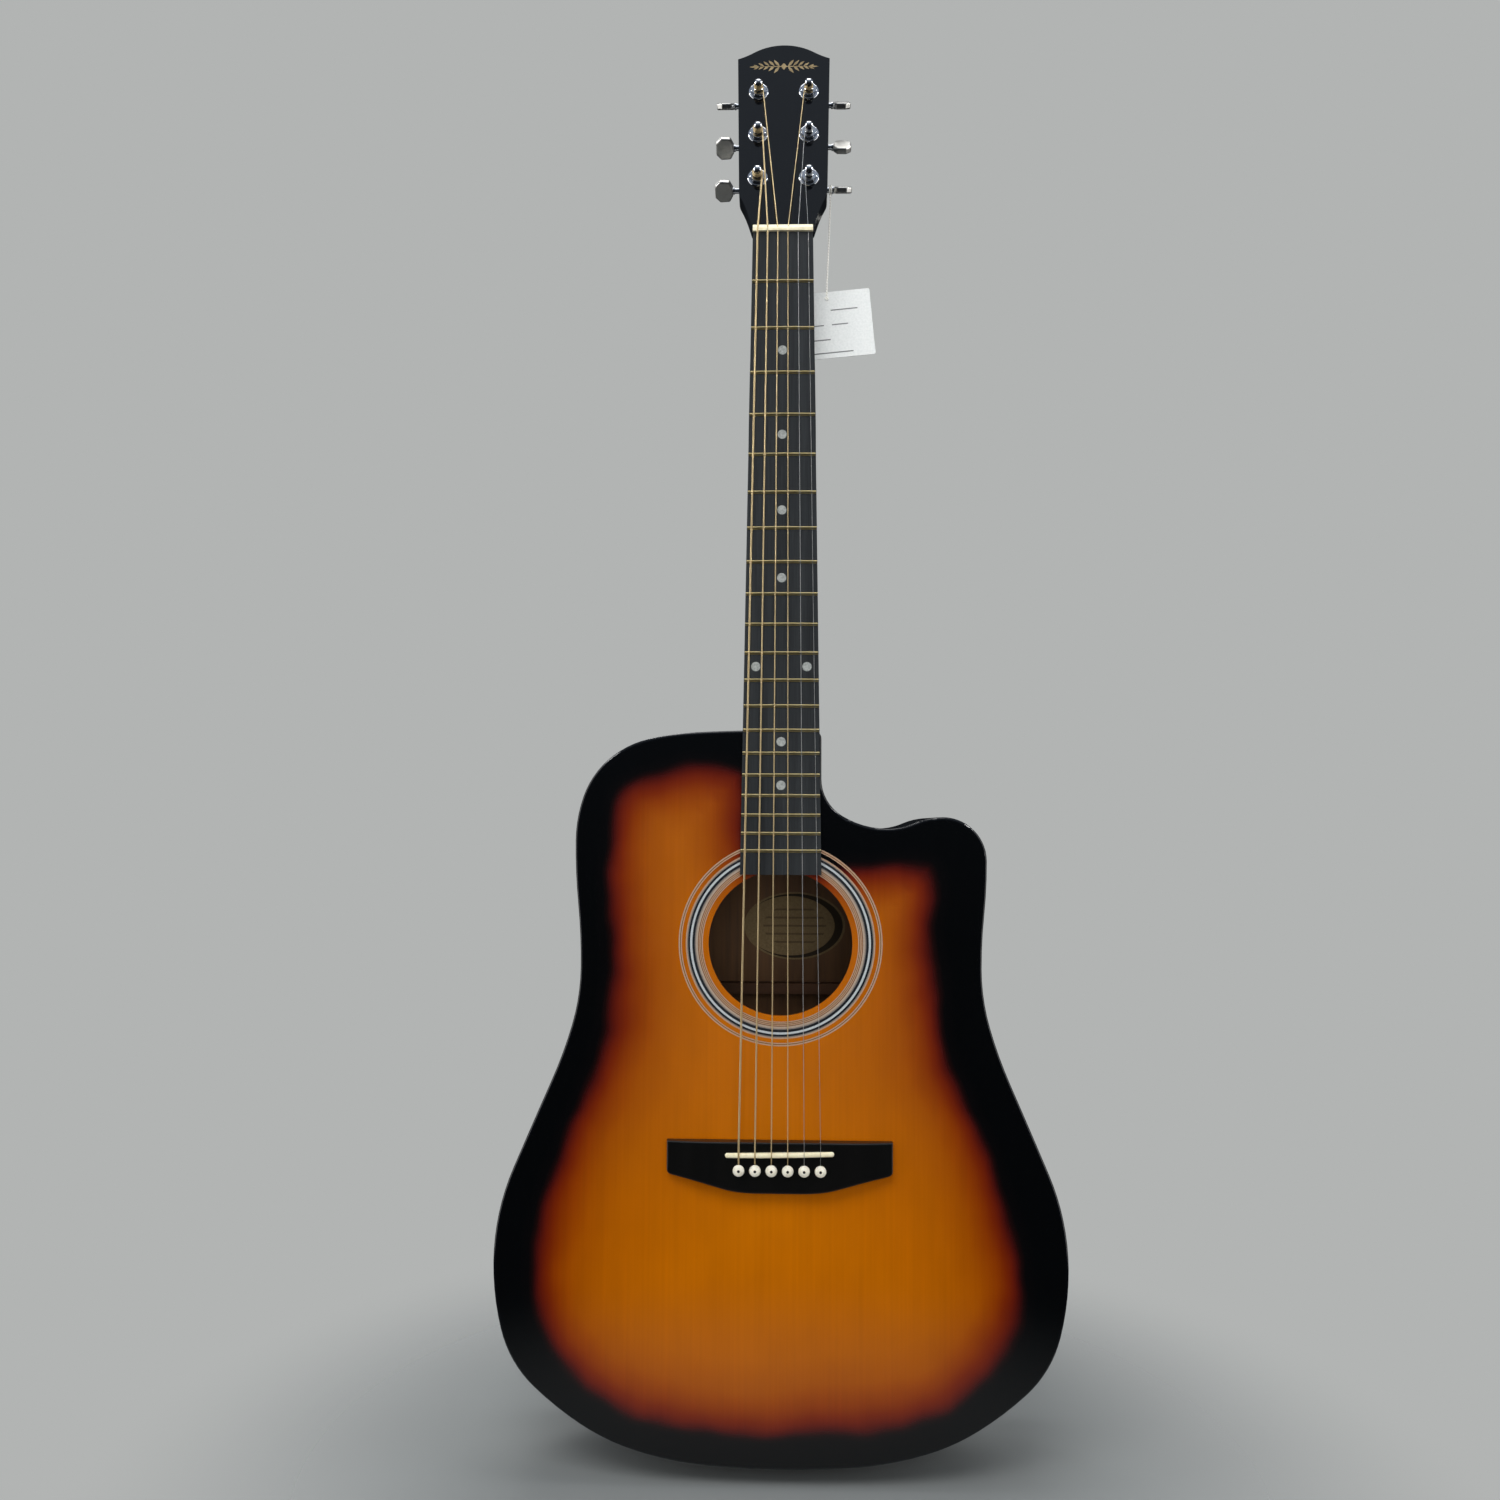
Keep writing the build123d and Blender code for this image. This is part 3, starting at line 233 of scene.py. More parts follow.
def finish_piece(piece, body, material, angle=SMOOTH_ANGLE):
    """Puts the place in the mesh, turns the faces outwards, smooths it and fixes it to its body."""
    apply_place(piece)
    bpy.ops.object.mode_set(mode="EDIT")
    bpy.ops.mesh.select_all(action="SELECT")
    bpy.ops.mesh.normals_make_consistent(inside=False)
    bpy.ops.object.mode_set(mode="OBJECT")
    bpy.ops.object.shade_smooth_by_angle(angle=math.radians(angle))
    piece.data.materials.clear()
    piece.data.materials.append(material)
    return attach(piece, body)


def join(pieces, name):
    pick_nothing()
    for piece in pieces:
        piece.select_set(True)
    bpy.context.view_layer.objects.active = pieces[0]
    bpy.ops.object.join()
    pieces[0].name = name
    return pieces[0]


# ---------------------------------------------------------------- ways of making a finish


def paint(red, green, blue):
    """A paint's colour, given as it looks on a screen from 0 to 255, for a shader."""
    channels = [c / 255 for c in (red, green, blue)]
    linear = [c / 12.92 if c <= 0.04045 else ((c + 0.055) / 1.055) ** 2.4 for c in channels]
    return (*linear, 1.0)


def map_range(tree, value, low, high, to_low=0.0, to_high=1.0):
    """A node that stretches a value from one range to another, held within the second."""
    node = tree.nodes.new("ShaderNodeMapRange")
    for name, number in (
        ("From Min", low), ("From Max", high), ("To Min", to_low), ("To Max", to_high)
    ):
        node.inputs[name].default_value = number
    tree.links.new(value, node.inputs["Value"])
    return node


# The wave texture multiplies its scale by this before it takes the sine.
WAVE_NODE_FACTOR = 20


class Finish:
    """One material, with the few kinds of node that this guitar's finishes are made of."""

    def __init__(self, name, **constants):
        self.material = bpy.data.materials.new(name)
        self.material.use_nodes = True
        self.tree = self.material.node_tree
        self.nodes = self.tree.nodes
        self.links = self.tree.links
        self.shader = self.nodes["Principled BSDF"]
        for socket, value in constants.items():
            self.shader.inputs[socket.replace("_", " ")].default_value = value
        self.object_place = self.nodes.new("ShaderNodeTexCoord").outputs["Object"]

    def feed(self, socket, source):
        self.links.new(source, self.shader.inputs[socket])

    def place(self, scale=(1, 1, 1), at=(0, 0, 0)):
        """Places on the piece as measured from `at`, each axis scaled."""
        mapping = self.nodes.new("ShaderNodeMapping")
        mapping.vector_type = "POINT"
        mapping.inputs["Scale"].default_value = scale
        mapping.inputs["Location"].default_value = [-a * s for a, s in zip(at, scale)]
        self.links.new(self.object_place, mapping.inputs["Vector"])
        return mapping.outputs["Vector"]

    def noise(self, scale, stretch=(1, 1, 1), detail=3, roughness=0.55):
        """Noise with about `scale` lumps to the metre, drawn out along axes with a low stretch."""
        node = self.nodes.new("ShaderNodeTexNoise")
        node.inputs["Scale"].default_value = scale
        node.inputs["Detail"].default_value = detail
        node.inputs["Roughness"].default_value = roughness
        self.links.new(self.place(stretch), node.inputs["Vector"])
        return node.outputs["Fac"]

    def waves(self, per_metre, axis, distortion=0.0):
        """Even ridges across an axis, `per_metre` of them to the metre."""
        node = self.nodes.new("ShaderNodeTexWave")
        node.bands_direction = axis
        node.inputs["Scale"].default_value = per_metre * math.tau / WAVE_NODE_FACTOR
        node.inputs["Distortion"].default_value = distortion
        self.links.new(self.place(), node.inputs["Vector"])
        return node.outputs["Fac"]

    def tag_place(self):
        """Places on the hanging tag: across it and up it from its hole."""
        shift = self.nodes.new("ShaderNodeVectorMath")
        shift.operation = "SUBTRACT"
        shift.inputs[1].default_value = [c * MM for c in TAG_HOLE]
        self.links.new(self.object_place, shift.inputs[0])
        turn = self.nodes.new("ShaderNodeVectorRotate")
        turn.rotation_type = "Y_AXIS"
        turn.inputs["Angle"].default_value = math.radians(TAG_TURN)
        self.links.new(shift.outputs[0], turn.inputs["Vector"])
        return turn.outputs[0]

    def attribute(self, name):
        node = self.nodes.new("ShaderNodeAttribute")
        node.attribute_name = name
        return node.outputs["Fac"]

    def reckon(self, operation, first, second):
        """One step of arithmetic on two values, each a number or a node's output."""
        node = self.nodes.new("ShaderNodeMath")
        node.operation = operation
        for socket, value in zip(node.inputs, (first, second)):
            if isinstance(value, (int, float)):
                socket.default_value = value
            else:
                self.links.new(value, socket)
        return node.outputs[0]

    def spread(self, value, low, high, to_low=0.0, to_high=1.0):
        return map_range(self.tree, value, low, high, to_low, to_high).outputs["Result"]

    def ramp(self, value, stops, sharp=False):
        """Colours along a value from 0 to 1."""
        node = self.nodes.new("ShaderNodeValToRGB")
        node.color_ramp.interpolation = "CONSTANT" if sharp else "LINEAR"
        elements = node.color_ramp.elements
        while len(elements) < len(stops):
            elements.new(0.5)
        for element, (position, colour) in zip(elements, stops):
            element.position = position
            element.color = colour
        self.links.new(value, node.inputs["Fac"])
        return node.outputs["Color"]

    def mix(self, share, first, second, blend="MIX"):
        node = self.nodes.new("ShaderNodeMix")
        node.data_type = "RGBA"
        node.blend_type = blend
        sockets = [s for s in node.inputs if s.enabled]
        for socket, value in zip(sockets, (share, first, second)):
            if isinstance(value, (int, float, tuple)):
                socket.default_value = value
            else:
                self.links.new(value, socket)
        return next(s for s in node.outputs if s.enabled)

    def shaded(self, colour, shade):
        """A colour made lighter or darker by a value around 1."""
        grey = self.nodes.new("ShaderNodeCombineColor")
        for socket in grey.inputs:
            self.links.new(shade, socket)
        return self.mix(1.0, colour, grey.outputs[0], "MULTIPLY")

    def bump(self, height, depth, strength):
        """Relief of the given depth in millimetres."""
        node = self.nodes.new("ShaderNodeBump")
        node.inputs["Distance"].default_value = depth * MM
        node.inputs["Strength"].default_value = strength
        self.links.new(height, node.inputs["Height"])
        self.feed("Normal", node.outputs["Normal"])

    def distance(self, stretch, at):
        """How far a point is from `at`, each axis stretched first."""
        node = self.nodes.new("ShaderNodeVectorMath")
        node.operation = "LENGTH"
        self.links.new(self.place(stretch, at), node.inputs[0])
        return node.outputs["Value"]


# ---------------------------------------------------------------- finishes


def burst_lacquer():
    """Spruce sprayed from black at the rim through dark red to amber, under gloss."""
    finish = Finish("burst_lacquer")
    cloud = finish.spread(finish.noise(14, detail=2), 0.3, 0.7, -4 * MM, 4 * MM)
    inside = finish.reckon("ADD", finish.attribute("burst_depth"), cloud)
    nearest, deepest = BURST_COLOURS[0][0], BURST_COLOURS[-1][0]
    span = deepest - nearest
    stops = [((depth - nearest) / span, paint(*colour)) for depth, colour in BURST_COLOURS]
    sprayed = finish.ramp(finish.spread(inside, nearest * MM, deepest * MM), stops)
    grain = finish.noise(420, (1, 1, 0.012), detail=4)
    silk = finish.noise(60, (1, 1, 0.35), detail=2)
    lines = finish.spread(grain, 0.35, 0.7, 0.95, 1.04)
    shade = finish.reckon("MULTIPLY", lines, finish.spread(silk, 0.3, 0.7, 0.96, 1.04))
    finish.feed("Base Color", finish.shaded(sprayed, shade))
    finish.feed("Roughness", finish.spread(finish.noise(90), 0.3, 0.7, 0.09, 0.13))
    finish.bump(finish.noise(260, detail=2), 0.02, 0.25)
    return finish.material


def black_lacquer():
    """Gloss black that clouds very slightly towards blue."""
    finish = Finish("black_lacquer")
    cloud = [(0.3, paint(4, 5, 6)), (0.7, paint(7, 8, 12))]
    finish.feed("Base Color", finish.ramp(finish.noise(9), cloud))
    finish.feed("Roughness", finish.spread(finish.noise(70), 0.3, 0.7, 0.07, 0.12))
    finish.bump(finish.noise(240, detail=2), 0.02, 0.25)
    return finish.material


def bare_wood(name, light, dark, scale=220, along=(1, 1, 0.02)):
    """Wood with its grain lines close together across it and long along it."""
    finish = Finish(name)
    fibres = finish.noise(scale, along, detail=5, roughness=0.62)
    flame = finish.noise(scale / 12, [min(1, a * 6) for a in along], detail=2)
    most, rest = finish.reckon("MULTIPLY", fibres, 0.7), finish.reckon("MULTIPLY", flame, 0.3)
    tone = finish.reckon("ADD", most, rest)
    finish.feed("Base Color", finish.ramp(tone, [(0.36, paint(*dark)), (0.64, paint(*light))]))
    finish.feed("Roughness", finish.spread(fibres, 0.3, 0.7, 0.54, 0.70))
    finish.bump(fibres, 0.12, 0.5)
    return finish.material


def rosette_inlay():
    """Rings of pale and black plastic let into the top."""
    finish = Finish("rosette_inlay", Coat_Weight=0.5, Coat_Roughness=0.05, Roughness=0.25)
    pale, brown = (172, 140, 112), (112, 70, 36)
    white, black, grey = (176, 182, 184), (34, 37, 41), (116, 108, 102)
    rings = [
        (54.0, pale), (54.6, brown), (55.1, pale), (55.7, brown), (56.2, pale), (56.8, brown),
        (57.4, (164, 146, 128)), (58.7, grey), (59.5, black), (61.3, white), (62.7, black),
        (64.2, grey), (64.9, pale), (68.6, pale), (69.3, brown), (69.9, pale),
    ]
    inner, outer = 50.0, 75.0  # The radii at the two ends of the colour ramp.
    radius = finish.distance((1, 0, 1), (0, 0, -HOLE_DOWN * MM))
    share = finish.spread(radius, inner * MM, outer * MM)
    stops = [((r - inner) / (outer - inner), paint(*colour)) for r, colour in rings]
    colour = finish.ramp(share, stops, sharp=True)
    fleck = finish.spread(finish.noise(900, detail=2), 0.35, 0.65, 0.9, 1.06)
    finish.feed("Base Color", finish.shaded(colour, fleck))
    finish.bump(finish.waves(1400, "X"), 0.01, 0.1)
    return finish.material


def label_paper():
    """An oval paper label with ruled lines and a dark ring near its edge, broader at one side."""
    finish = Finish("label_paper", Roughness=0.8)
    x, down = LABEL_MIDDLE
    half_wide, half_tall = LABEL_HALF
    stretch = (1 / (half_wide * MM), 0, 1 / (half_tall * MM))
    oval = finish.distance(stretch, (x * MM, 0, -down * MM))
    inner_oval = finish.distance(stretch, ((x - LABEL_RING_SHIFT) * MM, 0, -down * MM))
    in_ring = finish.reckon("LESS_THAN", oval, 0.95)
    past_ring = finish.reckon("GREATER_THAN", inner_oval, 0.88)
    ring = finish.reckon("MULTIPLY", in_ring, past_ring)
    fibre = finish.noise(700, detail=4)
    paper = finish.ramp(fibre, [(0.3, paint(98, 82, 56)), (0.7, paint(114, 97, 68))])
    lines = finish.reckon("LESS_THAN", finish.waves(160, "Z"), 0.14)
    middle_part = finish.reckon("LESS_THAN", oval, 0.62)
    ruled = finish.reckon("MULTIPLY", finish.reckon("MULTIPLY", lines, middle_part), 0.5)
    ruled_paper = finish.mix(ruled, paper, paint(44, 34, 24))
    finish.feed("Base Color", finish.mix(ring, ruled_paper, paint(40, 33, 24)))
    finish.bump(fibre, 0.03, 0.4)
    return finish.material


def black_wood(name, rough, light, dark):
    """Dense wood dyed black, with fine pores along it."""
    finish = Finish(name)
    pores = finish.noise(900, (1, 1, 0.03), detail=4)
    band = finish.noise(90, (1, 1, 0.05), detail=2)
    half, other = finish.reckon("MULTIPLY", pores, 0.5), finish.reckon("MULTIPLY", band, 0.5)
    tone = finish.reckon("ADD", half, other)
    finish.feed("Base Color", finish.ramp(tone, [(0.35, paint(*dark)), (0.65, paint(*light))]))
    finish.feed("Roughness", finish.spread(pores, 0.3, 0.7, rough + 0.08, rough - 0.05))
    finish.bump(pores, 0.05, 0.35)
    return finish.material


def moulded(name, light, dark, rough, subsurface=0.0, lump=300):
    """Plastic or bone: a faint mottle, a little unevenness in its gloss."""
    finish = Finish(name, Subsurface_Weight=subsurface, Subsurface_Radius=(0.002, 0.0014, 0.0008))
    mottle = finish.noise(lump, detail=3)
    finish.feed("Base Color", finish.ramp(mottle, [(0.3, paint(*dark)), (0.7, paint(*light))]))
    finish.feed("Roughness", finish.spread(mottle, 0.3, 0.7, rough - 0.05, rough + 0.06))
    finish.bump(finish.noise(lump * 3, detail=2), 0.02, 0.2)
    return finish.material


def metal(name, light, dark, rough, spread=0.04, relief=0.006):
    """Bare or plated metal with faint clouding and hairline marks."""
    finish = Finish(name, Metallic=1.0)
    cloud = finish.noise(150, detail=3)
    finish.feed("Base Color", finish.ramp(cloud, [(0.3, paint(*dark)), (0.7, paint(*light))]))
    finish.feed("Roughness", finish.spread(cloud, 0.3, 0.7, rough - spread, rough + spread))
    finish.bump(finish.noise(1800, (1, 1, 0.2), detail=2), relief, 0.3)
    return finish.material


def wound_wire():
    """Bronze wire wrapped tightly round a core: ridges along the string, shade painted in grooves.
    """
    finish = Finish("wound_wire", Metallic=0.75)
    wraps = finish.waves(2900, "Z")
    # The grooves between the wraps are painted darker: painted shade.
    groove_shade_to_ridge = [(0.0, paint(168, 144, 100)), (0.55, paint(226, 203, 156))]
    finish.feed("Base Color", finish.ramp(wraps, groove_shade_to_ridge))
    finish.feed("Roughness", finish.spread(finish.noise(300), 0.3, 0.7, 0.28, 0.42))
    finish.bump(wraps, 0.05, 0.6)
    return finish.material


def cotton():
    """White cotton, twisted, dull, with painted shade in the grooves of the twist."""
    finish = Finish("cotton_thread", Roughness=0.9, Sheen_Weight=0.3)
    twist = finish.waves(900, "DIAGONAL", 1.5)
    # The twist's grooves are painted darker: painted shade.
    groove_shade_to_ridge = [(0.1, paint(214, 212, 202)), (0.7, paint(248, 247, 240))]
    finish.feed("Base Color", finish.ramp(twist, groove_shade_to_ridge))
    finish.bump(twist, 0.15, 0.6)
    return finish.material


def printed_card():
    """White card with a few plain dark rules of different lengths."""
    finish = Finish("tag_card", Roughness=0.72)
    fibre = finish.noise(600, detail=4)
    card = finish.ramp(fibre, [(0.3, paint(222, 225, 223)), (0.7, paint(236, 238, 236))])
    split = finish.nodes.new("ShaderNodeSeparateXYZ")
    finish.links.new(finish.tag_place(), split.inputs[0])
    across, up = split.outputs["X"], split.outputs["Z"]
    rules = 0.0
    for down, left, right in CARD_RULES:
        row = finish.reckon("COMPARE", up, -down * MM)
        row.node.inputs[2].default_value = CARD_RULE_HALF * MM
        after = finish.reckon("GREATER_THAN", across, left * MM)
        before = finish.reckon("LESS_THAN", across, right * MM)
        rule = finish.reckon("MULTIPLY", row, finish.reckon("MULTIPLY", after, before))
        rules = finish.reckon("ADD", rules, rule)
    ink = finish.reckon("MULTIPLY", rules, 0.8)
    finish.feed("Base Color", finish.mix(ink, card, paint(50, 52, 54)))
    finish.bump(fibre, 0.03, 0.4)
    return finish.material


FINISHES = {
    "burst": burst_lacquer(),
    "lacquer": black_lacquer(),
    "spruce": bare_wood("bare_spruce", (196, 158, 108), (160, 120, 76)),
    "ply": bare_wood("inside_ply", (94, 67, 42), (71, 49, 30)),
    # The back braces are spruce; their dark brown is painted shade, for the shade inside the body.
    "shaded_brace": bare_wood("brace_wood_painted_shade", (74, 50, 34), (54, 36, 24), along=(0.02, 1, 1)),
    "block": bare_wood("inside_block", (178, 138, 96), (138, 100, 64), 160),
    "rosette": rosette_inlay(),
    "label": label_paper(),
    "bridge": black_wood("black_bridge", 0.34, (9, 8, 7), (4, 4, 4)),
    # The fretboard's grey-blue is partly its dark wood and partly painted sheen: the room's
    # reflection painted into its colour.
    "board": black_wood("fretboard_dark_with_painted_sheen", 0.36, (46, 49, 51), (28, 30, 32)),
    "black_plastic": moulded("black_plastic", (22, 22, 24), (12, 12, 14), 0.3),
    "ivory": moulded("ivory", (238, 230, 198), (222, 212, 176), 0.34, 0.15),
    "pin": moulded("pin_plastic", (236, 232, 216), (220, 214, 196), 0.3, 0.1),
    "pearl": moulded("pearl", (166, 170, 166), (130, 134, 132), 0.22, 0.0, 700),
    "brass": metal("brass_ball", (214, 176, 96), (180, 142, 70), 0.3),
    "fret": metal("fret_wire", (232, 212, 158), (214, 190, 132), 0.34, relief=0.001),
    "wound": wound_wire(),
    "steel": metal("steel_wire", (196, 196, 194), (180, 181, 181), 0.42, relief=0.0),
    "rod": metal("rod_steel", (110, 112, 116), (70, 72, 76), 0.42),
    "chrome": metal("tuner_chrome", (226, 228, 232), (204, 206, 212), 0.07, 0.03, 0.002),
    "satin": metal("button_satin", (224, 222, 216), (204, 202, 196), 0.38, 0.06),
    "card": printed_card(),
    "cotton": cotton(),
    "gold": metal("gold_transfer", (204, 180, 136), (176, 150, 108), 0.42),
    "dot": moulded("black_dot", (16, 16, 16), (8, 8, 8), 0.3),
}


# ---------------------------------------------------------------- the tag's thread


def hang_thread():
    """The cotton thread from its loop round a tuner's shaft down to the knot at the tag."""
    curve = bpy.data.curves.new("cotton_thread", "CURVE")
    curve.dimensions = "3D"
    spline = curve.splines.new("NURBS")
    spline.points.add(len(THREAD_ROUTE) - 1)
    for point, place in zip(spline.points, THREAD_ROUTE):
        point.co = (*(c * MM for c in place), 1.0)
    spline.order_u = 3
    spline.use_endpoint_u = True
    curve.bevel_depth = THREAD_RADIUS * MM
    curve.bevel_resolution = 3
    curve.use_fill_caps = True
    thread = bpy.data.objects.new("cotton_thread", curve)
    bpy.context.scene.collection.objects.link(thread)
    curve.materials.append(FINISHES["cotton"])
    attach(thread, "guitar")
    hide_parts("tag_thread")
    start = Vector(THREAD_ROUTE[0]) * MM
    loop = thread_loop(start)
    knot = thread_knot()


def thread_loop(start):
    """Two turns of the thread round the shaft of the lowest treble tuner."""
    shaft = Vector(JOINTS["knob_6_turn"]["pos_m"])
    radius = shaft.z - start.z - THREAD_RADIUS * MM
    turns = []
    for shift in LOOP_SHIFTS:
        pick_nothing()
        bpy.ops.mesh.primitive_torus_add(
            major_radius=radius, minor_radius=LOOP_CORD_RADIUS * MM, major_segments=40,
            minor_segments=10,
            location=(start.x + shift * MM, shaft.y, shaft.z),
            rotation=(0, math.radians(90), math.radians(LOOP_LEAN * shift)))
        turns.append(new_piece("thread_turn"))
    loop = join(turns, "thread_loop")
    return finish_piece(loop, "guitar", FINISHES["cotton"])


def thread_knot():
    """A small knot in front of the tag's hole: three rounds of cord, each tilted another way."""
    rounds = []
    front = TAG_HOLE[1] - TAG_HALF_THICKNESS
    for tilt, size, out in KNOT_ROUNDS:
        pick_nothing()
        bpy.ops.mesh.primitive_torus_add(
            major_radius=size * MM, minor_radius=KNOT_CORD_RADIUS * MM, major_segments=24,
            minor_segments=10,
            location=(TAG_HOLE[0] * MM, (front - out) * MM, TAG_HOLE[2] * MM),
            rotation=(math.radians(70), math.radians(tilt), 0))
        rounds.append(new_piece("knot_round"))
    knot = join(rounds, "thread_knot")
    return finish_piece(knot, "guitar", FINISHES["cotton"])


# ---------------------------------------------------------------- the sprayed top


CURVE_STEPS = 8


def closed_curve(points):
    """A smooth closed line through the points, with a few steps from each to the next."""
    line = []
    count = len(points)
    for i in range(count):
        a, b, c, d = (np.array(points[(i + k) % count], float) for k in (-1, 0, 1, 2))
        for step in range(CURVE_STEPS):
            t = step / CURVE_STEPS
            line.append(0.5 * (2 * b + (c - a) * t + (2 * a - 5 * b + 4 * c - d) * t**2
                               + (3 * b - a - 3 * c + d) * t**3))
    return np.array(line)


def depth_inside(points, line):
    """How far inside a closed line each point is, negative outside it."""
    best = np.full(len(points), np.inf)
    inside = np.zeros(len(points), bool)
    for a, d in zip(line, np.roll(line, -1, axis=0) - line):
        share = np.clip(((points - a) @ d) / (d @ d), 0, 1)
        best = np.minimum(best, np.linalg.norm(points - a - share[:, None] * d, axis=1))
        if d[1] != 0:
            height = (points[:, 1] - a[1]) / d[1]
            crossing = (height >= 0) & (height < 1) & (points[:, 0] < a[0] + height * d[0])
            inside ^= crossing
    return np.where(inside, best, -best)


def sprayed_top():
    """The soundboard with enough points in its face to carry the sunburst."""
    top = bpy.data.objects.new("sprayed_top", NODES["soundboard"].data.copy())
    bpy.context.scene.collection.objects.link(top)
    work_on(top)
    bpy.ops.object.mode_set(mode="EDIT")
    bpy.ops.mesh.select_all(action="SELECT")
    bpy.ops.mesh.remove_doubles(threshold=0.00001)
    bpy.ops.mesh.customdata_custom_splitnormals_clear()
    low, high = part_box("soundboard")
    gap = BURST_GRID * MM
    for axis in (0, 2):
        for k in range(1, int((high[axis] - low[axis]) / gap) + 1):
            through, normal = [0.0, 0.0, 0.0], [0, 0, 0]
            through[axis] = low[axis] + k * gap
            normal[axis] = 1
            bpy.ops.mesh.select_all(action="SELECT")
            bpy.ops.mesh.bisect(plane_co=through, plane_no=normal)
    bpy.ops.object.mode_set(mode="OBJECT")
    mesh = top.data
    places = np.array([v.co for v in mesh.vertices])
    edge = closed_curve([(x * MM, -down * MM) for x, down in BURST_EDGE])
    depth = depth_inside(places[:, [0, 2]], edge)
    attribute = mesh.attributes.new("burst_depth", "FLOAT", "POINT")
    attribute.data.foreach_set("value", depth.astype(np.float32))
    mesh.materials.clear()
    mesh.materials.append(FINISHES["burst"])
    mesh.materials.append(FINISHES["spruce"])
    for face in mesh.polygons:
        face.material_index = int(face.normal.y > 0.5)
    work_on(top)
    bpy.ops.object.shade_smooth_by_angle(angle=math.radians(SMOOTH_ANGLE))
    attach(top, "guitar")
    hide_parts("soundboard")


# ---------------------------------------------------------------- strings on the posts


def string_turns(number):
    """Turns of one string round its post, laid one on the next, with closed ends."""
    radius = STRING_RADII[number - 1]
    joint = JOINTS[f"post_{number}_turn"]
    post, axis = Vector(joint["pos_m"]), Vector(joint["axis"])
    face = post + axis * ((head_point(0, 0, 0) - post).dot(axis))
    ring = WAIST_RADIUS + POST_GAP + radius
    pitch = 2 * radius + TURN_GAP
    fitting = int((WAIST_TOP - STRING_LIFT - radius) / pitch)
    turns = max(FEWEST_TURNS, min(MOST_TURNS, fitting))
    pick_nothing()
    bpy.ops.mesh.primitive_circle_add(
        vertices=10, radius=radius * MM, location=(ring * MM, 0, STRING_LIFT * MM),
        rotation=(math.radians(90), 0, 0))
    coil = new_piece(f"string_turns_{number}")
    apply_place(coil)
    apply_modifier(coil, "SCREW", axis="Z", angle=math.tau, screw_offset=pitch * MM,
                   iterations=turns, steps=28, render_steps=28, use_merge_vertices=False)
    bpy.ops.object.mode_set(mode="EDIT")
    bpy.ops.mesh.select_all(action="DESELECT")
    bpy.ops.mesh.select_non_manifold()
    bpy.ops.mesh.fill_holes(sides=0)
    bpy.ops.object.mode_set(mode="OBJECT")
    turn = Matrix.Rotation(math.radians(90 - HEAD_TILT), 4, "X")
    side = 0 if number <= 3 else math.pi
    coil.matrix_world = Matrix.Translation(face) @ turn @ Matrix.Rotation(side, 4, "Z")
    wound = number <= WOUND_STRINGS
    finish_piece(coil, f"post_{number}",
                 FINISHES["wound" if wound else "steel"])
    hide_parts(f"string_winding_{number}")


# ---------------------------------------------------------------- small inlays


def pin_dots():
    """A black dot let into the head of each bridge pin."""
    low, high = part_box("bridge_pins")
    first, last = low.x + PIN_HEAD_RADIUS * MM, high.x - PIN_HEAD_RADIUS * MM
    dots = []
    for k in range(PIN_COUNT):
        x = first + (last - first) * k / (PIN_COUNT - 1)
        pick_nothing()
        bpy.ops.mesh.primitive_uv_sphere_add(
            segments=20, ring_count=10, radius=PIN_DOT_RADIUS * MM,
            location=(x, low.y + PIN_DOT_DEPTH * MM, (low.z + high.z) / 2))
        dot = new_piece("pin_dot")
        dot.scale = (1, PIN_DOT_FLATNESS, 1)
        apply_place(dot)
        dots.append(dot)
    dots = join(dots, "pin_dots")
    finish_piece(dots, "guitar", FINISHES["dot"], 60)


def leaf(length, width, place):
    """A thin flat pointed leaf of gold."""
    pick_nothing()
    bpy.ops.mesh.primitive_circle_add(vertices=16, radius=1, fill_type="NGON")
    piece = new_piece("leaf")
    for vertex in piece.data.vertices:
        x = vertex.co.x
        vertex.co.x = x * length / 2 * MM
        vertex.co.y *= width / 2 * MM * (1 - LEAF_POINT * abs(x))
    bpy.ops.object.mode_set(mode="EDIT")
    bpy.ops.mesh.select_all(action="SELECT")
    bpy.ops.mesh.extrude_region_move(TRANSFORM_OT_translate={"value": (0, 0, GOLD_THICKNESS * MM)})
    bpy.ops.object.mode_set(mode="OBJECT")
    piece.matrix_world = place
    return piece


def gold_sprig():
    """Two sprigs of leaves in gold that meet at a bud: a plain ornament on the head."""
    leaves = []
    for side in (-1, 1):
        for k in range(SPRIG_LEAVES):
            along = side * (FIRST_LEAF + LEAF_STEP * k)
            rise = 0.9 * math.sin(k * 0.9)
            for up in (-1, 1):
                place = head_place(along, ORNAMENT_UP + rise, 0.0)
                lean = math.radians(up * (56 - 7 * k))
                turn = lean if side > 0 else math.pi - lean
                length, width = 7.4 - 0.75 * k, 2.3 - 0.2 * k
                reach = Matrix.Rotation(turn, 4, "Z") @ Matrix.Translation((length / 2 * MM, 0, 0))
                leaves.append(leaf(length, width, place @ reach))
        tip_along, tip_rise = TIP_PLACE
        tip = head_place(side * tip_along, ORNAMENT_UP + tip_rise, 0.0)
        leaves.append(leaf(*TIP_SIZE, tip))
    stem = leaf(*STEM_SIZE, head_place(0, ORNAMENT_UP, 0.0))
    upright = Matrix.Rotation(math.pi / 2, 4, "Z")
    bud = leaf(*BUD_SIZE, head_place(0, ORNAMENT_UP, BUD_LIFT) @ upright)
    sprig = join([*leaves, stem, bud], "gold_sprig")
    finish_piece(sprig, "guitar", FINISHES["gold"])


# ---------------------------------------------------------------- finishes for the rest


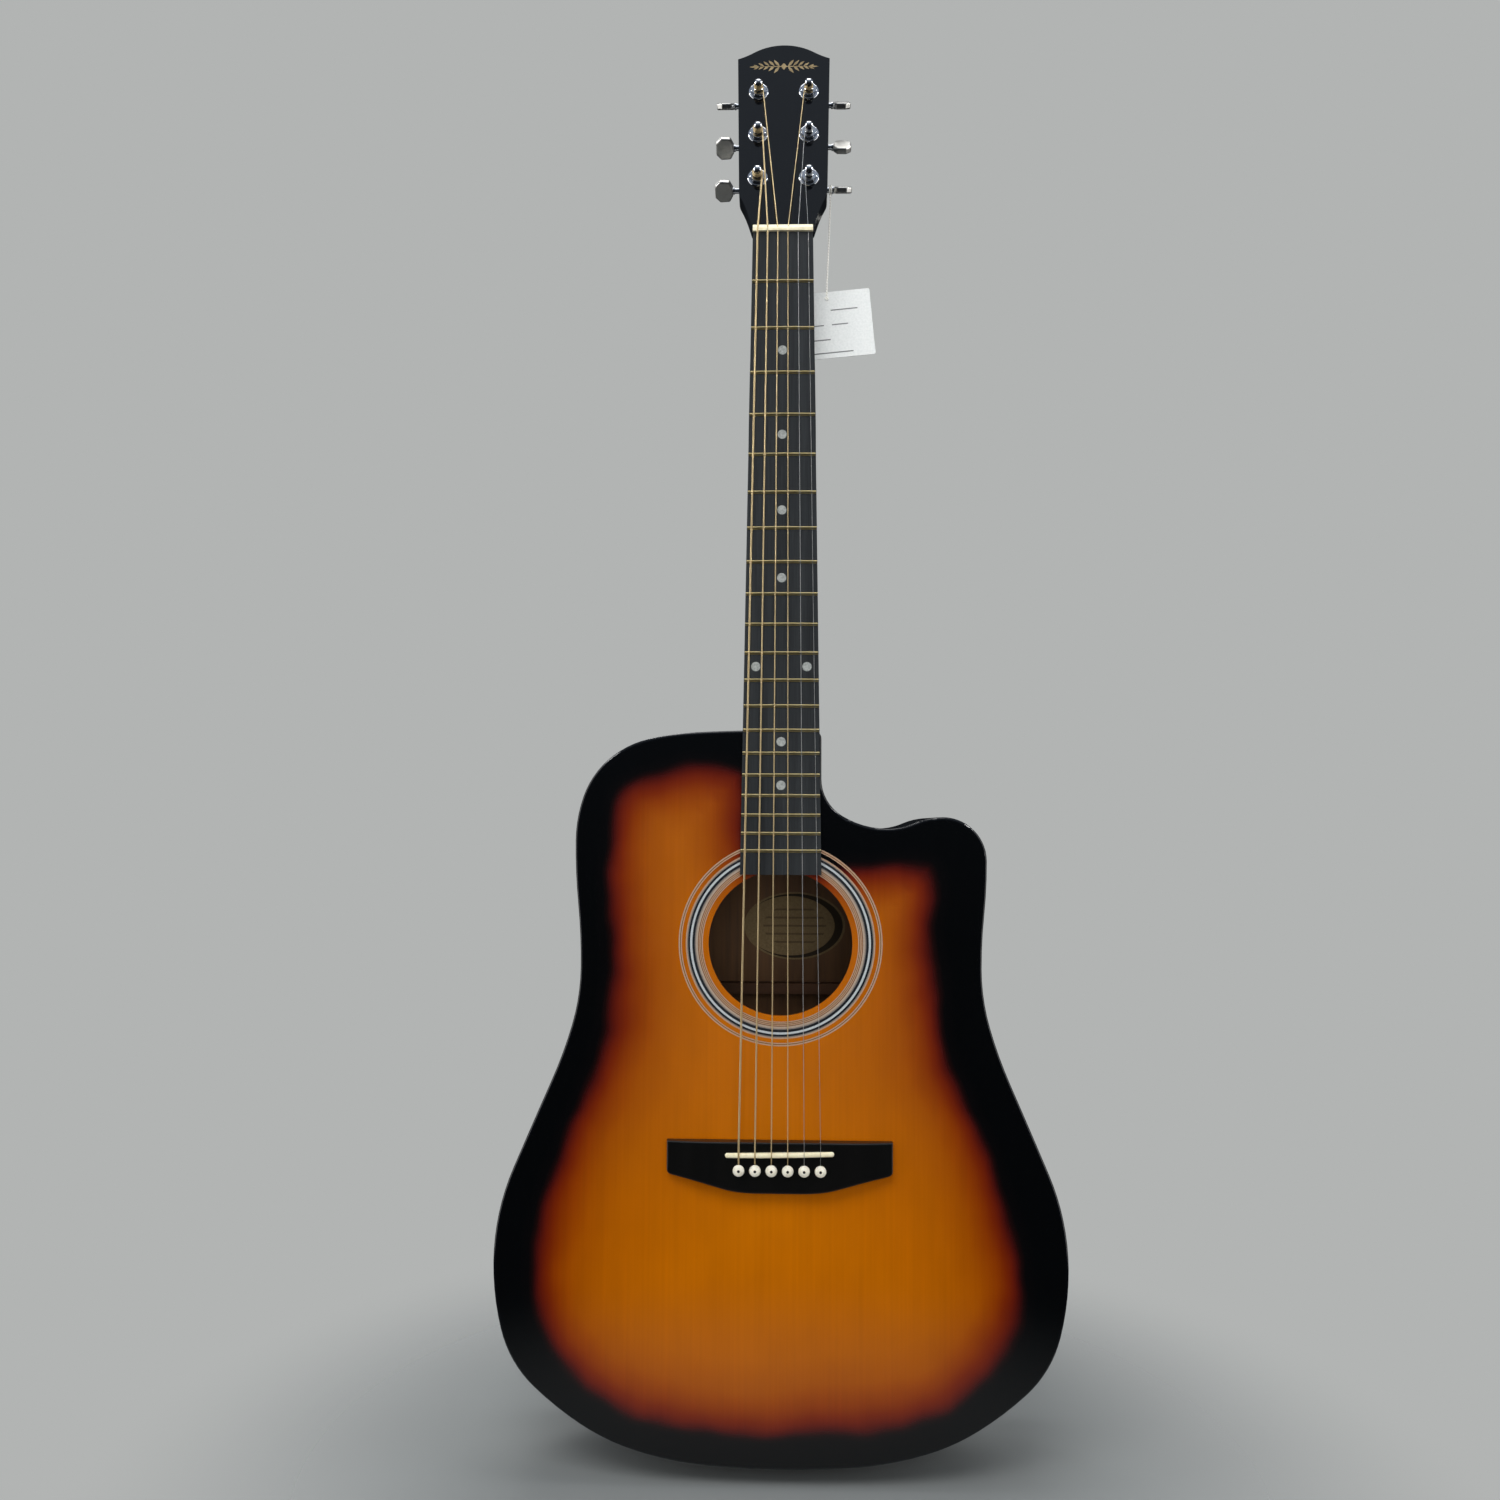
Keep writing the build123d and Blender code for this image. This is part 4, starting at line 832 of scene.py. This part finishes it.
def dress(finish, *names):
    for name in names:
        NODES[name].data.materials.clear()
        NODES[name].data.materials.append(FINISHES[finish])


def dress_inside(finish, name, is_inside):
    """Gives the faces that look into the body a finish of their own."""
    mesh = NODES[name].data
    mesh.materials.append(FINISHES[finish])
    for face in mesh.polygons:
        face.material_index = int(is_inside(face))


# A side's face whose normal points this much forwards or backwards is its edge, under the top or
# the back; and how far off any other face the test point is, in millimetres.
EDGE_FACE = 0.7
OFF_FACE = 4


def faces_into_body():
    """A test of whether a side's face looks into the body.

    It does if the soundboard is straight in front of a point a little way off the face.
    """
    board = NODES["soundboard"].data
    corners = [v.co for v in board.vertices]
    tree = BVHTree.FromPolygons(corners, [p.vertices for p in board.polygons])

    def looks_inside(face):
        if abs(face.normal.y) > EDGE_FACE:
            return True
        start = face.center + face.normal * OFF_FACE * MM
        return tree.ray_cast(start, Vector((0, -1, 0)))[0] is not None

    return looks_inside


def dress_everything():
    dress("lacquer", "back_plate", "top_binding", "back_binding", "rib_bass", "rib_treble", "neck",
          "headstock_overlay", "heel_cap")
    dress_inside("ply", "back_plate", lambda face: face.normal.y < -0.5)
    for rib in ("rib_bass", "rib_treble"):
        dress_inside("ply", rib, faces_into_body())
    dress("rosette", "rosette")
    dress("block", "kerfed_linings", "neck_block", "tail_block", "bridge_plate")
    dress("spruce", "soundboard_braces")
    # The back braces' dark brown is painted shade for the dark inside of the body.
    dress("shaded_brace", "back_braces")
    dress("label", "paper_label")
    dress("black_plastic", "end_pin")
    dress("bridge", "bridge")
    dress("ivory", "saddle", "nut")
    dress("pin", "bridge_pins")
    dress("brass", "ball_ends")
    dress("wound", "wound_strings")
    dress("steel", "plain_strings")
    dress("board", "fretboard")
    dress("fret", "frets")
    dress("pearl", "position_dots")
    dress("rod", "truss_rod", "truss_rod_nut")
    dress("chrome", "tuner_housings", "tuner_bushings", "tuner_washers", "tuner_screws")
    dress("card", "hang_tag")
    for number in range(1, 7):
        dress("chrome", f"tuner_post_{number}", f"tuner_worm_{number}")
        dress("satin", f"tuner_button_{number}")


# ---------------------------------------------------------------- studio


# What every light points at, in metres.
LIT_POINT = Vector((0, 0.03, -0.4))


def soft_light(name, place, size, power, falls=True, mirrored=True):
    """A rectangular light: whether it lights the guitar, and whether the gloss mirrors it."""
    data = bpy.data.lights.new(name, "AREA")
    data.shape = "RECTANGLE"
    data.size, data.size_y = size
    data.energy = power
    lamp = bpy.data.objects.new(name, data)
    bpy.context.scene.collection.objects.link(lamp)
    lamp.location = place
    lamp.visible_diffuse = falls
    lamp.visible_glossy = mirrored
    lamp.rotation_euler = (LIT_POINT - lamp.location).to_track_quat("-Z", "Y").to_euler()


# How bright the air is from straight down, -1, to straight up, 1.
AIR = [
    (-1.0, 0.02), (-0.3, 0.01), (-0.1, 0.012), (0.02, 0.03), (0.4, 0.09), (0.8, 0.36), (1.0, 0.4),
]
AIR_TINT = (0.87, 1.0, 1.18)
# The air is dimmer behind the guitar than in front of it: from where to where the view turns back,
# and the strength at each end.
AIR_TURN = (-0.3, 0.4)
AIR_STRENGTH = (1.0, 0.3)
BACKDROP = paint(178, 180, 179)
FLOOR = paint(128, 131, 130)
# The floor's radius and how far back its middle is, in metres; how far under the guitar it lies,
# in millimetres; and where it begins to fade and is gone, in metres from its middle.
FLOOR_RADIUS = 1.3
FLOOR_BACK = 0.06
FLOOR_DROP = 0.5
FLOOR_FADE = (0.2, 0.5)


def studio_air():
    """A pale grey backdrop, and dim bluish air, brighter above, for the gloss to mirror."""
    world = bpy.data.worlds.new("studio")
    bpy.context.scene.world = world
    world.use_nodes = True
    nodes, links = world.node_tree.nodes, world.node_tree.links
    way = nodes.new("ShaderNodeSeparateXYZ")
    links.new(nodes.new("ShaderNodeTexCoord").outputs["Generated"], way.inputs[0])
    ramp = nodes.new("ShaderNodeValToRGB")
    while len(ramp.color_ramp.elements) < len(AIR):
        ramp.color_ramp.elements.new(0.5)
    for element, (up, level) in zip(ramp.color_ramp.elements, AIR):
        element.position = (up + 1) / 2
        element.color = (*(level * tint for tint in AIR_TINT), 1)
    upward = map_range(world.node_tree, way.outputs["Z"], -1, 1)
    links.new(upward.outputs["Result"], ramp.inputs["Fac"])
    links.new(ramp.outputs["Color"], nodes["Background"].inputs["Color"])
    strength = map_range(world.node_tree, way.outputs["Y"], *AIR_TURN, *AIR_STRENGTH)
    links.new(strength.outputs["Result"], nodes["Background"].inputs["Strength"])
    backdrop = nodes.new("ShaderNodeBackground")
    backdrop.inputs["Color"].default_value = BACKDROP
    mix = nodes.new("ShaderNodeMixShader")
    links.new(nodes.new("ShaderNodeLightPath").outputs["Is Camera Ray"], mix.inputs[0])
    links.new(nodes["Background"].outputs[0], mix.inputs[1])
    links.new(backdrop.outputs[0], mix.inputs[2])
    links.new(mix.outputs[0], nodes["World Output"].inputs["Surface"])


def pale_floor():
    """A round pale floor under the guitar that fades into the backdrop at its edge."""
    pick_nothing()
    bpy.ops.mesh.primitive_circle_add(vertices=96, radius=FLOOR_RADIUS, fill_type="NGON",
                                      location=(0, FLOOR_BACK, CAD_BOX[0].z - FLOOR_DROP * MM))
    floor = new_piece("floor")
    material = bpy.data.materials.new("pale_floor")
    material.use_nodes = True
    nodes, links = material.node_tree.nodes, material.node_tree.links
    nodes["Principled BSDF"].inputs["Base Color"].default_value = FLOOR
    nodes["Principled BSDF"].inputs["Roughness"].default_value = 0.9
    length = nodes.new("ShaderNodeVectorMath")
    length.operation = "LENGTH"
    links.new(nodes.new("ShaderNodeTexCoord").outputs["Object"], length.inputs[0])
    fade = map_range(material.node_tree, length.outputs["Value"], *FLOOR_FADE)
    fade.interpolation_type = "SMOOTHSTEP"
    clear = nodes.new("ShaderNodeBsdfTransparent")
    mix = nodes.new("ShaderNodeMixShader")
    links.new(fade.outputs["Result"], mix.inputs[0])
    links.new(nodes["Principled BSDF"].outputs[0], mix.inputs[1])
    links.new(clear.outputs[0], mix.inputs[2])
    links.new(mix.outputs[0], nodes["Material Output"].inputs["Surface"])
    floor.data.materials.append(material)


def studio():
    studio_air()
    pale_floor()
    soft_light("key", (-0.6, -1.7, 1.5), (1.8, 1.2), 44, mirrored=False)
    soft_light("front_fill", (0.2, -2.0, -0.3), (1.6, 1.6), 22, mirrored=False)
    soft_light("left_side", (-2.0, -0.4, -0.1), (1.2, 2.4), 18)
    soft_light("right_side", (2.0, -0.4, -0.1), (1.2, 2.4), 15)
    soft_light("back_glow", (0.3, 1.9, 0.7), (1.8, 1.2), 26, mirrored=False)
    soft_light("left_lamp", (-1.5, -0.5, 1.1), (0.4, 0.4), 14, falls=False)
    soft_light("right_lamp", (1.5, -0.5, 1.1), (0.3, 0.3), 10, falls=False)
    soft_light("ceiling", (0.0, 0.1, 2.2), (1.4, 1.0), 18)
    soft_light("back_ceiling", (-0.6, 1.6, 1.4), (0.5, 0.5), 6)
    bpy.context.scene.view_settings.view_transform = "Standard"


# ---------------------------------------------------------------- making

set_up_camera()
hang_thread()
dress_everything()
sprayed_top()
for number in range(1, 7):
    string_turns(number)
pin_dots()
gold_sprig()
studio()
